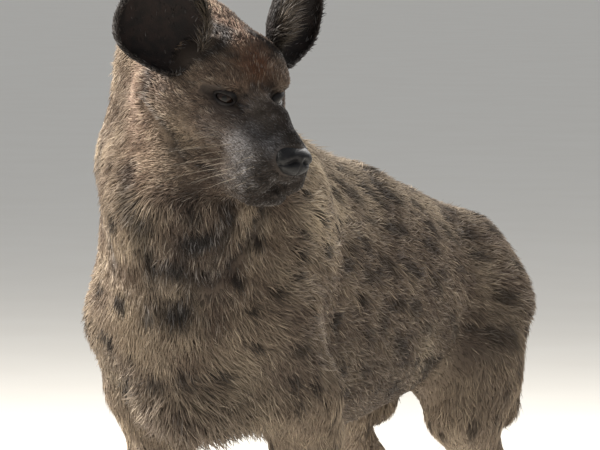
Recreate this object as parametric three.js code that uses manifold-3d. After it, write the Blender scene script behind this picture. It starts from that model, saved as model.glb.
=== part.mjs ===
// A spotted hyena, standing with its head raised and turned to its left, life size, in millimetres.
// It faces -Y, its left side is +X, and its soles rest on z = 0.
import * as THREE from "three";
import { mergeVertices } from "three/addons/utils/BufferGeometryUtils.js";
import Module from "manifold-3d";

const wasm = await Module();
wasm.setup();

// Driving dimensions
const withersHeight = 800;
const croupHeight = 680;
const chestHalfWidth = 132;
const bellyHalfWidth = 142;
const stanceHalfWidth = 90;
const jointGap = 0.3;
const eyeRadius = 13.5;
const neckTurn = 65;
const headPitch = 16;
const headRoll = 3;
const lidThickness = 3.6;
const earHalfWidth = 60;
const earHalfHeight = 60;
const earThickness = 5;
const headCell = 10;
const maneLength = 62;
const maneHalfWidth = 10;
const brushLength = 110;
const lockSunk = 8;
const earLevel = 1.2;
const sliverWidth = 0.03;

// A point by how far it lies to the animal's left, ahead and up.
const at = (left, ahead, up) => new THREE.Vector3(left, -ahead, up);
const radians = THREE.MathUtils.degToRad;

// The head's own frame: its origin is midway between the eyes, and it looks along its own -Y.
const eyesMidway = at(119, 432, 858);
const headFrame = new THREE.Matrix4()
  .makeRotationFromEuler(new THREE.Euler(radians(headPitch), radians(headRoll), radians(neckTurn), "ZXY"))
  .setPosition(eyesMidway);
const onHead = (left, ahead, up) => at(left, ahead, up).applyMatrix4(headFrame);
const headDirection = (left, ahead, up) => at(left, ahead, up).transformDirection(headFrame);
const still = new THREE.Matrix4();
const sides = [["left", 1], ["right", -1]];

// Fields: a field gives roughly how far a point is outside a body, and is negative inside it.

// An ellipsoid with its radii to the left, ahead and up, turned by angles in degrees.
function bulb(centre, [left, ahead, up], [pitch, roll, yaw] = [0, 0, 0]) {
  const turn = new THREE.Matrix4()
    .makeRotationFromEuler(new THREE.Euler(radians(pitch), radians(roll), radians(yaw)))
    .invert().elements;
  const { x: cx, y: cy, z: cz } = centre;
  return (x, y, z) => {
    const dx = x - cx, dy = y - cy, dz = z - cz;
    const u = (turn[0] * dx + turn[4] * dy + turn[8] * dz) / left;
    const v = (turn[1] * dx + turn[5] * dy + turn[9] * dz) / ahead;
    const w = (turn[2] * dx + turn[6] * dy + turn[10] * dz) / up;
    const reach = Math.hypot(u, v, w);
    return (reach * (reach - 1)) / Math.max(Math.hypot(u / left, v / ahead, w / up), 1e-9);
  };
}

// A rod between two points whose radius runs evenly from one end's to the other's.
function limb(start, startRadius, end, endRadius) {
  const axis = end.clone().sub(start);
  const lengthSquared = axis.lengthSq();
  return (x, y, z) => {
    const dx = x - start.x, dy = y - start.y, dz = z - start.z;
    const along = (dx * axis.x + dy * axis.y + dz * axis.z) / lengthSquared;
    const t = Math.min(1, Math.max(0, along));
    const away = Math.hypot(dx - t * axis.x, dy - t * axis.y, dz - t * axis.z);
    return away - startRadius - t * (endRadius - startRadius);
  };
}

// Several rods end to end, from a list of points and the radius at each.
function chain(softness, ...stations) {
  const rods = [];
  for (let i = 1; i < stations.length; i++) {
    rods.push(limb(stations[i - 1][0], stations[i - 1][1], stations[i][0], stations[i][1]));
  }
  return melt(softness, ...rods);
}

// Fields joined with a fillet of about the given size between them.
function melt(softness, ...fields) {
  return (x, y, z) => {
    let joined = fields[0](x, y, z);
    for (let i = 1; i < fields.length; i++) {
      const next = fields[i](x, y, z);
      const near = Math.max(softness - Math.abs(joined - next), 0) / softness;
      joined = Math.min(joined, next) - (near * near * softness) / 4;
    }
    return joined;
  };
}

// A field written in a frame of its own, placed in the animal's.
function placed(frame, field) {
  const back = frame.clone().invert().elements;
  return (x, y, z) =>
    field(
      back[0] * x + back[4] * y + back[8] * z + back[12],
      back[1] * x + back[5] * y + back[9] * z + back[13],
      back[2] * x + back[6] * y + back[10] * z + back[14],
    );
}

// Trunk: rib cage, belly, loin and pelvis under a ridge that slopes back from high withers
function trunkField() {
  const ribs = bulb(at(0, 205, 612), [chestHalfWidth, 185, 172]);
  const belly = bulb(at(0, 10, 574), [bellyHalfWidth, 235, 172]);
  const loin = bulb(at(0, -180, 572), [130, 190, 142]);
  const pelvis = bulb(at(0, -330, croupHeight - 104), [108, 124, 92]);
  const breast = bulb(at(0, 338, 548), [98, 94, 120]);
  const withers = bulb(at(0, 225, withersHeight - 92), [70, 165, 84]);
  const ridge = chain(
    20,
    [at(0, 215, withersHeight - 62), 54],
    [at(0, -80, withersHeight - 120), 62],
    [at(0, -312, croupHeight - 62), 50],
  );
  return melt(70, ribs, belly, loin, pelvis, breast, withers, ridge);
}

// Shoulder and foreleg of one side, down to the wrist; side is 1 on the left and -1 on the right
function foreField(side, back) {
  const out = side * stanceHalfWidth;
  const blade = bulb(at(side * 88, 280, 662), [50, 86, 140], [-18, side * -6, 0]);
  const arm = chain(
    30,
    [at(side * 92, 330, 575), 66],
    [at(side * 100, 264, 486), 54],
    [at(out + side * 4, 244 - back, 430), 42],
  );
  const forearm = chain(
    20,
    [at(out + side * 4, 244 - back, 432), 43],
    [at(out + side * 4, 264 - back, 340), 35],
    [at(out, 266 - back, 190), 25],
    [at(out, 270 - back, 150), 27],
    [at(out, 286 - back, 40), 26],
  );
  return melt(30, blade, arm, forearm);
}

// Haunch and hind leg of one side, down past the hock
function hindField(side, back) {
  const out = side * (stanceHalfWidth - 4);
  const rump = bulb(at(side * 66, -350, 559), [66, 108, 112], [12, 0, 0]);
  const thigh = chain(
    40,
    [at(side * 78, -335, 545), 92],
    [at(side * 96, -285, 455), 66],
    [at(side * 100, -262, 408), 46],
  );
  const ham = chain(30, [at(side * 66, -405, 560), 58], [at(side * 90, -385, 410), 40]);
  const shank = chain(
    20,
    [at(side * 98, -272, 408), 44],
    [at(side * 92, -350 - back * 0.5, 320), 34],
    [at(out, -415 - back, 236), 24],
  );
  const heel = limb(at(out, -425 - back, 246), 19, at(out, -405 - back, 200), 22);
  const shin = chain(14, [at(out, -412 - back, 226), 24], [at(out, -398 - back, 130), 22], [at(out, -380 - back, 48), 25]);
  return melt(30, rump, thigh, ham, shank, melt(10, heel, shin));
}

// Neck: a thick column from between the shoulders, bending to the left up to the back of the skull
function neckField() {
  const column = chain(
    60,
    [at(-8, 280, 690), 134],
    [at(-14, 345, 775), 98],
    [onHead(4, -140, -6), 70],
    [onHead(0, -95, -16), 62],
  );
  const throat = chain(
    50,
    [at(0, 350, 610), 102],
    [at(14, 400, 730), 84],
    [onHead(0, -95, -66), 52],
  );
  const nape = chain(40, [at(0, 190, 752), 56], [at(-10, 280, 826), 56], [onHead(0, -132, 16), 52]);
  return melt(50, column, throat, nape);
}

// Head, in its own frame
function headField() {
  const both = (make) => [make(1), make(-1)];
  const brain = bulb(at(0, -86, 16), [68, 80, 58]);
  const forehead = bulb(at(0, -44, 16), [54, 48, 46]);
  const temples = both((s) => bulb(at(s * 46, -54, 14), [32, 46, 40]));
  const jowls = both((s) => bulb(at(s * 52, -84, -36), [40, 56, 52], [0, 0, s * 6]));
  const arches = both((s) => limb(at(s * 48, -14, -28), 19, at(s * 78, -84, -16), 25));
  const brows = both((s) => bulb(at(s * 35, -9, 17), [21, 19, 11], [0, s * -14, s * -24]));
  const muzzle = both((s) => limb(at(s * 20, -6, -38), 35, at(s * 16, 68, -56), 29));
  const bridge = chain(10, [at(0, -12, -6), 22], [at(0, 48, -16), 20], [at(0, 92, -40), 18]);
  const lips = both((s) => bulb(at(s * 25, 46, -77), [20, 45, 23], [6, 0, s * 4]));
  const pad = bulb(at(0, 82, -50), [23, 20, 21]);
  const jaws = both((s) => limb(at(s * 36, -64, -82), 30, at(s * 14, 54, -99), 18));
  const chin = bulb(at(0, 60, -101), [23, 20, 15]);
  const skull = melt(26, brain, forehead, ...temples, ...jowls, ...arches);
  const face = melt(14, ...muzzle, bridge, ...lips, chin, ...jaws, pad);
  return placed(headFrame, melt(22, skull, melt(12, ...brows, face)));
}

const leftForeBack = 22;
const rightForeBack = 0;
const leftHindBack = 0;
const rightHindBack = 26;

// Tail: it hangs from the rump
const tailBend = at(0, -516, 520);
const tailEnd = at(0, -522, 372);
function tailField() {
  return chain(
    14,
    [at(0, -425, 640), 36],
    [at(0, -482, 604), 25],
    [tailBend, 19],
    [tailEnd, 13],
  );
}

const wholeBody = melt(
  44,
  trunkField(),
  foreField(1, leftForeBack),
  foreField(-1, rightForeBack),
  hindField(1, leftHindBack),
  hindField(-1, rightHindBack),
);
const whole = melt(24, melt(20, melt(54, wholeBody, neckField()), tailField()), headField());

// The surface where a field meets a level, as one closed mesh of cells about as wide as `cell`,
// found within a box between two corners of a frame. The mesh is closed off at the box's sides.
function netOf(field, frame, corner, opposite, cell, level = 0) {
  const low = corner.clone().min(opposite);
  const size = corner.clone().max(opposite).sub(low);
  const [nx, ny, nz] = [size.x, size.y, size.z].map((s) => Math.max(2, Math.round(s / cell)));
  const step = new THREE.Vector3(size.x / nx, size.y / ny, size.z / nz);
  const sampleAt = (i, j, k) => (k * (ny + 1) + j) * (nx + 1) + i;
  const cellAt = (i, j, k) => (k * ny + j) * nx + i;
  const samples = new Float64Array((nx + 1) * (ny + 1) * (nz + 1));
  const point = new THREE.Vector3();
  for (let k = 0; k <= nz; k++) {
    for (let j = 0; j <= ny; j++) {
      for (let i = 0; i <= nx; i++) {
        point.set(low.x + i * step.x, low.y + j * step.y, low.z + k * step.z).applyMatrix4(frame);
        const value = field(point.x, point.y, point.z) - level;
        const onSide = i === 0 || j === 0 || k === 0 || i === nx || j === ny || k === nz;
        samples[sampleAt(i, j, k)] = onSide ? Math.max(value, cell / 2) : value;
      }
    }
  }

  const positions = [];
  const vertexOfCell = new Int32Array(nx * ny * nz).fill(-1);
  const corners = [0, 1, 2, 3, 4, 5, 6, 7].map((c) => [c & 1, (c >> 1) & 1, c >> 2]);
  const edges = [];
  for (let a = 0; a < 8; a++) {
    for (const bit of [1, 2, 4]) if (!(a & bit)) edges.push([a, a | bit]);
  }
  for (let k = 0; k < nz; k++) {
    for (let j = 0; j < ny; j++) {
      for (let i = 0; i < nx; i++) {
        const values = corners.map(([a, b, c]) => samples[sampleAt(i + a, j + b, k + c)]);
        const inside = values.filter((v) => v < 0).length;
        if (inside === 0 || inside === 8) continue;
        const sum = [0, 0, 0];
        let crossings = 0;
        for (const [a, b] of edges) {
          if (values[a] < 0 === values[b] < 0) continue;
          const t = values[a] / (values[a] - values[b]);
          for (let axis = 0; axis < 3; axis++) {
            sum[axis] += corners[a][axis] + t * (corners[b][axis] - corners[a][axis]);
          }
          crossings++;
        }
        point
          .set(
            low.x + (i + sum[0] / crossings) * step.x,
            low.y + (j + sum[1] / crossings) * step.y,
            low.z + (k + sum[2] / crossings) * step.z,
          )
          .applyMatrix4(frame);
        vertexOfCell[cellAt(i, j, k)] = positions.length / 3;
        positions.push(point.x, point.y, point.z);
      }
    }
  }

  const index = [];
  const gapBetween = (a, b) =>
    Math.hypot(
      positions[3 * a] - positions[3 * b],
      positions[3 * a + 1] - positions[3 * b + 1],
      positions[3 * a + 2] - positions[3 * b + 2],
    );
  const addQuad = (a, b, c, d) => {
    if (gapBetween(a, c) < gapBetween(b, d)) index.push(a, b, c, a, c, d);
    else index.push(a, b, d, b, c, d);
  };
  for (let k = 1; k < nz; k++) {
    for (let j = 1; j < ny; j++) {
      for (let i = 0; i < nx; i++) {
        const here = samples[sampleAt(i, j, k)] < 0;
        if (here === samples[sampleAt(i + 1, j, k)] < 0) continue;
        const ring = [cellAt(i, j - 1, k - 1), cellAt(i, j, k - 1), cellAt(i, j, k), cellAt(i, j - 1, k)];
        addQuad(...(here ? ring : ring.reverse()).map((c) => vertexOfCell[c]));
      }
    }
  }
  for (let k = 1; k < nz; k++) {
    for (let j = 0; j < ny; j++) {
      for (let i = 1; i < nx; i++) {
        const here = samples[sampleAt(i, j, k)] < 0;
        if (here === samples[sampleAt(i, j + 1, k)] < 0) continue;
        const ring = [cellAt(i - 1, j, k - 1), cellAt(i - 1, j, k), cellAt(i, j, k), cellAt(i, j, k - 1)];
        addQuad(...(here ? ring : ring.reverse()).map((c) => vertexOfCell[c]));
      }
    }
  }
  for (let k = 0; k < nz; k++) {
    for (let j = 1; j < ny; j++) {
      for (let i = 1; i < nx; i++) {
        const here = samples[sampleAt(i, j, k)] < 0;
        if (here === samples[sampleAt(i, j, k + 1)] < 0) continue;
        const ring = [cellAt(i - 1, j - 1, k), cellAt(i, j - 1, k), cellAt(i, j, k), cellAt(i - 1, j, k)];
        addQuad(...(here ? ring : ring.reverse()).map((c) => vertexOfCell[c]));
      }
    }
  }
  const net = new THREE.BufferGeometry();
  net.setAttribute("position", new THREE.Float32BufferAttribute(positions, 3));
  net.setIndex(index);
  return net;
}

// Solids from closed geometry, and geometry from solids
function solidOf(geometry) {
  const bare = new THREE.BufferGeometry();
  bare.setAttribute("position", geometry.getAttribute("position"));
  if (geometry.index) bare.setIndex(geometry.index);
  const merged = mergeVertices(bare, 1e-3);
  return new wasm.Manifold(
    new wasm.Mesh({
      numProp: 3,
      vertProperties: merged.attributes.position.array,
      triVerts: new Uint32Array(merged.index.array),
    }),
  );
}

const largestOf = (solid) => solid.decompose().sort((a, b) => b.volume() - a.volume())[0];

function geometryOf(solid) {
  const mesh = solid.getMesh();
  const geometry = new THREE.BufferGeometry();
  geometry.setAttribute("position", new THREE.BufferAttribute(mesh.vertProperties, 3));
  geometry.setIndex(new THREE.BufferAttribute(mesh.triVerts, 1));
  geometry.computeVertexNormals();
  return geometry;
}

// A region bounded by flat cuts, each given by a point and the direction that the region lies in.
// `within` is the region drawn in by half the joint gap, and `around` is let out by as much.
function regionOf(...planes) {
  const reach = 2400;
  const bounded = (inset) =>
    planes
      .map(([point, direction]) => {
        const normal = direction.clone().normalize();
        const turn = new THREE.Quaternion().setFromUnitVectors(new THREE.Vector3(0, 0, 1), normal);
        const middle = normal.clone().multiplyScalar(reach / 2 + inset).add(point);
        const box = new THREE.BoxGeometry(reach, reach, reach);
        return solidOf(box.applyMatrix4(new THREE.Matrix4().compose(middle, turn, new THREE.Vector3(1, 1, 1))));
      })
      .reduce((a, b) => a.intersect(b));
  return { within: bounded(jointGap / 2), around: bounded(-jointGap / 2) };
}

// A closed body along a path: each station is a point, a half width along `across` and a half thickness,
// and the last station is a bare point, the tip.
function strand(stations, across) {
  const positions = [];
  const index = [];
  const last = stations.length - 1;
  stations.slice(0, last).forEach(([point, halfWidth, halfThickness], i) => {
    const along = stations[i + 1][0].clone().sub(stations[Math.max(i - 1, 0)][0]).normalize();
    const side = across.clone().addScaledVector(along, -across.dot(along)).normalize();
    const face = along.clone().cross(side);
    for (const [u, v] of [[1, 0], [0, 1], [-1, 0], [0, -1]]) {
      const corner = point.clone().addScaledVector(side, u * halfWidth).addScaledVector(face, v * halfThickness);
      positions.push(...corner.toArray());
    }
    if (i > 0) {
      for (let c = 0; c < 4; c++) {
        const a = (i - 1) * 4 + c;
        const b = (i - 1) * 4 + ((c + 1) % 4);
        index.push(a, b, b + 4, a, b + 4, a + 4);
      }
    }
  });
  const tip = positions.length / 3;
  positions.push(...stations[last][0].toArray());
  const ring = tip - 4;
  for (let c = 0; c < 4; c++) index.push(ring + c, ring + ((c + 1) % 4), tip);
  index.push(0, 2, 1, 0, 3, 2);
  const body = new THREE.BufferGeometry();
  body.setAttribute("position", new THREE.Float32BufferAttribute(positions, 3));
  body.setIndex(index);
  return body;
}

// The first point outside a field on the way from a point within it
function surfaceFrom(field, inside, direction) {
  const way = direction.clone().normalize();
  let near = 0;
  let far = 400;
  while (far - near > 0.05) {
    const middle = (near + far) / 2;
    const p = inside.clone().addScaledVector(way, middle);
    if (field(p.x, p.y, p.z) < 0) near = middle;
    else far = middle;
  }
  return inside.clone().addScaledVector(way, far);
}

// Round bodies, rods and points, as solids
function ballOf(centre, [left, ahead, up], turn = [0, 0, 0], frame = still, across = 12, along = 9) {
  const ball = new THREE.SphereGeometry(1, across, along).scale(left, ahead, up);
  const spin = new THREE.Matrix4()
    .makeRotationFromEuler(new THREE.Euler(...turn.map(radians)))
    .setPosition(centre);
  return solidOf(ball.applyMatrix4(spin).applyMatrix4(frame));
}

function spikeOf(base, radius, tip, sides = 7) {
  const axis = tip.clone().sub(base);
  const cone = new THREE.ConeGeometry(radius, axis.length(), sides).translate(0, axis.length() / 2, 0);
  const turn = new THREE.Quaternion().setFromUnitVectors(new THREE.Vector3(0, 1, 0), axis.clone().normalize());
  return solidOf(cone.applyQuaternion(turn).translate(base.x, base.y, base.z));
}

const unionOf = (solids) => wasm.Manifold.union(solids);

// The flesh within a box of a frame, thinned by up to a fourteenth of a cell
const fleshOf = (frame, corner, opposite, cell, level = 0) =>
  solidOf(netOf(whole, frame, corner, opposite, cell, level)).simplify(cell / 14);

// Hair locks: flat, tapered and bent, with their roots sunk in the flesh
function random(seed) {
  let state = seed;
  return () => {
    state = (state * 1664525 + 1013904223) % 4294967296;
    return state / 4294967296;
  };
}

function outwardAt(field, p) {
  const slope = (axis) => {
    const step = new THREE.Vector3().setComponent(axis, 0.5);
    const [a, b] = [p.clone().add(step), p.clone().sub(step)];
    return field(a.x, a.y, a.z) - field(b.x, b.y, b.z);
  };
  return new THREE.Vector3(slope(0), slope(1), slope(2)).normalize();
}

// A lock from a point on the surface: it rises by `lift` degrees and then lies back along `flow`.
function lockOf(root, outward, flow, length, halfWidth, lift) {
  const lie = flow.clone().addScaledVector(outward, -flow.dot(outward)).normalize();
  const across = outward.clone().cross(lie).normalize();
  const step = (share, turned) =>
    lie.clone().multiplyScalar(Math.cos(radians(turned)) * share * length)
      .addScaledVector(outward, Math.sin(radians(turned)) * share * length);
  const start = root.clone().addScaledVector(outward, -lockSunk).addScaledVector(lie, -0.08 * length);
  const low = start.clone().add(step(0.3, lift + 18));
  const high = low.clone().add(step(0.36, lift));
  const tip = high.clone().add(step(0.4, lift - 26));
  return solidOf(strand([[start, halfWidth, 6], [low, halfWidth, 5], [high, halfWidth * 0.7, 3.5], [tip]], across));
}

// The mane runs in rows along the nape and withers, from a point within the neck to one within the back.
function maneOf(spine, rows, seed) {
  const draw = random(seed);
  const locks = [];
  for (let i = 0; i < rows; i++) {
    const place = (i + 0.5) / rows;
    const inside = spine.getPoint(place);
    const flow = spine.getTangent(place);
    const left = new THREE.Vector3(0, 0, 1).cross(flow).normalize();
    const above = flow.clone().cross(left);
    for (const slot of [-1, 0, 1]) {
      const lean = slot * 0.34 + (draw() - 0.5) * 0.14 + (i % 2 ? 0.12 : -0.12);
      const shifted = inside.clone().addScaledVector(flow, (draw() - 0.5) * 14);
      const root = surfaceFrom(whole, shifted, above.clone().addScaledVector(left, lean));
      const length = maneLength * (0.85 + 0.3 * draw());
      locks.push(lockOf(root, outwardAt(whole, root), flow, length, maneHalfWidth, 12 + 10 * draw()));
    }
  }
  return locks;
}

// The tail's brush hangs in tiers of locks from the lower half of the tail.
function brushOf(seed) {
  const draw = random(seed);
  const locks = [];
  [0.3, 0.6, 0.92].forEach((place, tier) => {
    const middle = tailBend.clone().lerp(tailEnd, place);
    for (let i = 0; i < 4; i++) {
      const angle = ((i + tier / 2) / 4) * 2 * Math.PI;
      const out = at(Math.sin(angle), Math.cos(angle), 0);
      const root = surfaceFrom(whole, middle, out);
      const length = brushLength * (0.85 + 0.3 * draw());
      locks.push(lockOf(root, out, at(0, 0, -1), length, 11, 9));
    }
  });
  return locks;
}

// Where the body is parted
const floor = regionOf([at(0, 0, -jointGap / 2), at(0, 0, 1)]);
const neckRegion = regionOf([at(0, 350, 700), at(0, 0.86, 0.5)]);
const headRegion = regionOf(
  [onHead(0, -122, 0), headDirection(0, 0.96, 0.28)],
  [onHead(0, -70, -132), headDirection(0, -0.1, 1)],
  [onHead(104, 0, 0), headDirection(-1, 0, 0)],
  [onHead(-104, 0, 0), headDirection(1, 0, 0)],
);
const forelegRegion = (s) => regionOf([at(s * 60, 0, 440), at(s * 0.6, 0, -0.8)], [at(0, 160, 0), at(0, 1, 0)]);
const forepawRegion = regionOf([at(0, 266, 168), at(0, 0, -1)]);
const thighRegion = (s) => regionOf([at(s * 55, 0, 440), at(s * 0.6, 0, -0.8)], [at(0, -200, 0), at(0, -1, 0)]);
const hindfootRegion = (back) => regionOf([at(0, -390 - back, 272), at(0, -0.6, -0.8)]);
const tailRegion = regionOf([at(0, -456, 0), at(0, -1, 0)]);

const maneSpine = new THREE.CatmullRomCurve3([
  onHead(0, -128, 8),
  at(-10, 290, 800),
  at(0, 180, 730),
  at(0, 20, 700),
]);
const mane = maneOf(maneSpine, 10, 7);

const nodes = {};
nodes.torso = unionOf([fleshOf(still, at(-230, -520, 360), at(230, 490, 900), 42), ...mane])
  .subtract(neckRegion.around)
  .subtract(tailRegion.around);
nodes.neck = unionOf([fleshOf(still, at(-230, 160, 500), at(250, 580, 1010), 28), ...mane])
  .intersect(neckRegion.within)
  .subtract(headRegion.around);

// Eyes sit just under the surface of the face, each looking out and ahead.
const gaze = (s) => headDirection(s * 0.66, 0.75, 0.04);
const eyeAt = (s) => surfaceFrom(whole, onHead(s * 18, -26, -3), gaze(s)).addScaledVector(gaze(s), -(eyeRadius - 0.5));

// Lids close over each eye but for an almond, and the mouth is a groove from the lips' middle to each corner.
const headNet = (level) => fleshOf(headFrame, at(-135, -165, -170), at(135, 140, 125), headCell, level);
function lidded(head) {
  for (const [, s] of sides) {
    const eye = eyeAt(s);
    const lid = eyeRadius + lidThickness;
    const slit = ballOf(at(0, 0, 0), [13.5, 14, 5.2], [0, s * -10, s * -41], headFrame.clone().setPosition(eye.clone().addScaledVector(gaze(s), 12)));
    head = head
      .add(ballOf(eye, [lid, lid, lid], [0, 0, 0]))
      .subtract(ballOf(eye, [eyeRadius + jointGap, eyeRadius + jointGap, eyeRadius + jointGap], [0, 0, 0]))
      .subtract(slit);
  }
  return head;
}

function mouthGroove(s) {
  const line = [
    [50, -88, -0.05, 1],
    [50, -90, 0.35, 0.94],
    [50, -96, 0.75, 0.66],
    [42, -101, 1, 0.25],
    [26, -99, 1, 0],
    [0, -94, 1, 0],
    [-29, -88, 1, 0],
  ].map(([ahead, up, left, forward]) => surfaceFrom(whole, onHead(0, ahead, up), headDirection(s * left, forward, 0)));
  const last = line.length - 1;
  const stations = line.map((point, i) => (i === last ? [point] : [point, 2.4 - 0.2 * i, 4.5]));
  return solidOf(strand(stations, headDirection(0, 0, s)));
}

const nosePad = (grow) => ballOf(at(0, 97, -47), [25 + grow, 19 + grow, 19 + grow], [8, 0, 0], headFrame, 12, 9);
const nostrils = sides.flatMap(([, s]) => [
  ballOf(at(s * 10, 115, -45), [4.8, 9, 5.4], [0, s * 20, s * 20], headFrame, 8, 6),
  ballOf(at(s * 18, 109, -49), [7, 9, 2.6], [0, s * 24, s * 42], headFrame, 8, 6),
]);
nodes.head = lidded(headNet(0).intersect(headRegion.within).intersect(neckRegion.within))
  .subtract(mouthGroove(1))
  .subtract(mouthGroove(-1))
  .subtract(nosePad(jointGap + 0.05));
nodes.nose = nosePad(0).subtract(unionOf(nostrils));

// An ear's outer shape, or its hollow: round at the top and narrower towards its root
function earShell(frame, s, inset, forward) {
  const shell = new THREE.SphereGeometry(1, 16, 11);
  const points = shell.getAttribute("position");
  for (let i = 0; i < points.count; i++) {
    const up = points.getZ(i);
    const low = Math.max(0, -up);
    const width = (earHalfWidth - inset) * (1 - 0.3 * low * low);
    points.setXYZ(
      i,
      points.getX(i) * width - s * 14 * low * low,
      points.getY(i) * 30 - forward,
      up * (earHalfHeight - inset) + (forward > 0 ? 1.5 : 0),
    );
  }
  return solidOf(shell.applyMatrix4(frame));
}

for (const [name, s] of sides) {
  nodes["eye_" + name] = ballOf(eyeAt(s), [eyeRadius, eyeRadius, eyeRadius]);
  const ear = new THREE.Matrix4()
    .makeRotationFromEuler(new THREE.Euler(radians(-4), radians(s * 14), radians(s * 24), "ZYX"))
    .setPosition(at(s * 105, -66, 71 + s * 7))
    .premultiply(headFrame);
  nodes["ear_" + name] = earShell(ear, s, 0, 0)
    .subtract(earShell(ear, s, earThickness, 9))
    .subtract(solidOf(new THREE.BoxGeometry(300, 60, 300).translate(0, -38, 0).applyMatrix4(ear)))
    .subtract(headNet(earLevel));

  const foreBack = s > 0 ? leftForeBack : rightForeBack;
  const hindBack = s > 0 ? leftHindBack : rightHindBack;
  const foreGrid = [at(s * 8, 90, 120), at(s * 200, 430, 540)];
  const hindGrid = [at(s * 8, -520, 200), at(s * 200, -130, 540)];
  nodes.torso = nodes.torso.subtract(forelegRegion(s).around).subtract(thighRegion(s).around);
  nodes["foreleg_" + name] = fleshOf(still, ...foreGrid, 20)
    .intersect(forelegRegion(s).within)
    .subtract(forepawRegion.around);
  nodes["forepaw_" + name] = fleshOf(still, at(s * 30, 180, 0), at(s * 150, 360, 190), 23)
    .intersect(forepawRegion.within)
    .add(pawOf(at(s * stanceHalfWidth, 292 - foreBack, 0), 1, s))
    .intersect(floor.within);
  nodes["thigh_" + name] = fleshOf(still, ...hindGrid, 23)
    .intersect(thighRegion(s).within)
    .subtract(hindfootRegion(hindBack).around);
  nodes["hindfoot_" + name] = fleshOf(still, at(s * 30, -520, 0), at(s * 150, -300, 300), 22)
    .intersect(hindfootRegion(hindBack).within)
    .add(pawOf(at(s * (stanceHalfWidth - 4), -372 - hindBack, 0), 0.88, s))
    .intersect(floor.within);
}
nodes.tail = unionOf([fleshOf(still, at(-70, -600, 340), at(70, -420, 700), 17), ...brushOf(11)]).intersect(
  tailRegion.within,
);

// A paw: a broad pad and four toes that fan out, each with a blunt claw
function pawOf(ankle, scale, s) {
  const pieces = [ballOf(ankle.clone().add(at(0, 4, 22)), [33 * scale, 40 * scale, 27], [0, 0, 0], still, 10, 8)];
  [-1.5, -0.5, 0.5, 1.5].forEach((slot) => {
    const middle = Math.abs(slot) < 1;
    const fan = slot * 7;
    const toe = ankle.clone().add(at(slot * 19 * scale, (middle ? 44 : 33) * scale, 15));
    const ahead = at(Math.sin(radians(fan)), Math.cos(radians(fan)), 0);
    pieces.push(ballOf(toe, [11.5 * scale, 25 * scale, 16.5], [0, 0, -fan], still, 7, 6));
    const root = toe.clone().addScaledVector(ahead, 16 * scale);
    pieces.push(spikeOf(root, 5, root.clone().addScaledVector(ahead, 20 * scale).add(at(0, 0, -8)), 5));
  });
  return unionOf(pieces);
}

// Materials by the kind of surface
const surface = (color, roughness) => new THREE.MeshStandardMaterial({ color, roughness, metalness: 0 });
const coat = surface(0x8a7660, 0.9);
const darkCoat = surface(0x3a2f28, 0.9);
const bareSkin = surface(0x16120f, 0.5);
const eyeball = surface(0x1a0e07, 0.08);
const materialFor = (name) => {
  if (name.startsWith("eye")) return eyeball;
  if (name === "nose") return bareSkin;
  return name.startsWith("ear") || name.includes("paw") || name.includes("foot") ? darkCoat : coat;
};

const hyena = new THREE.Group();
for (const [name, solid] of Object.entries(nodes)) {
  const mesh = new THREE.Mesh(geometryOf(largestOf(solid).simplify(sliverWidth)), materialFor(name));
  mesh.name = name;
  hyena.add(mesh);
}

// The origin is the middle of the whole box's bottom face.
const middle = new THREE.Box3().setFromObject(hyena).getCenter(new THREE.Vector3());
hyena.children.forEach((mesh) => mesh.geometry.translate(-middle.x, -middle.y, 0));

export default hyena;
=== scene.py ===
import math

import bmesh
import bpy
import numpy as np
from mathutils import Matrix, Vector


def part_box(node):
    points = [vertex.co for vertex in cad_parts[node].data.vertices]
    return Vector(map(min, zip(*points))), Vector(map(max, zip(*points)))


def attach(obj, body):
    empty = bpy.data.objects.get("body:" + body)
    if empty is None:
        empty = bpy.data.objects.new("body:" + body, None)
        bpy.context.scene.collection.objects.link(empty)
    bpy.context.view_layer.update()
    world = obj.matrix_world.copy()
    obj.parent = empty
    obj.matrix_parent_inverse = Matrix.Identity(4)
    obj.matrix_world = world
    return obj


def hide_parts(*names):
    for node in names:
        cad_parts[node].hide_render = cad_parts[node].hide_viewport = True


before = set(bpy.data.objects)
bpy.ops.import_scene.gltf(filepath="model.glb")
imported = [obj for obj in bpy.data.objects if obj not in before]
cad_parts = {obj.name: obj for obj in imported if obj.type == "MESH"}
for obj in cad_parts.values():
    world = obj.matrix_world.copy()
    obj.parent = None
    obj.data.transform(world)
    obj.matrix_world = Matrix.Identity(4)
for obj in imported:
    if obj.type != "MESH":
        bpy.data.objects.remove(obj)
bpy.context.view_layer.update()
print("frame loaded,", len(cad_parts), "nodes")

# The animal faces -Y, its left is +X. Shapes are worked out in millimetres in the model's own place,
# and partMiddle is where the frame's origin lies in it.


def at(left, ahead, up):
    return np.array((left, -ahead, up), float)


def turned(order, angles):
    # a turn about each named axis in turn, in degrees, the last one nearest the shape
    turn = Matrix.Identity(3)
    for axis, angle in zip(order, angles):
        turn = turn @ Matrix.Rotation(math.radians(angle), 3, axis)
    return np.array(turn)


def unit(vectors):
    return vectors / np.maximum(np.linalg.norm(vectors, axis=-1, keepdims=True), 1e-9)


def ease(value, low, high):
    # 0 below low, 1 above high, smooth between; low may be the larger
    t = np.clip((value - low) / (high - low), 0, 1)
    return t * t * (3 - 2 * t)


def bell(distance, width):
    return np.exp(-((distance / width) ** 2))


headPlace = {"eyesMidway": at(119, 432, 858), "turn": turned("ZXY", (65, 16, 3))}
headTurn = headPlace["turn"]


def onHead(left, ahead, up):
    return headTurn @ at(left, ahead, up) + headPlace["eyesMidway"]


def headWay(left, ahead, up):
    return unit(headTurn @ at(left, ahead, up))


def headPlaces(points):
    # how far to the head's left, ahead and up each point lies
    local = (points - headPlace["eyesMidway"]) @ headTurn
    return local[..., 0], -local[..., 1], local[..., 2]


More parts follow.
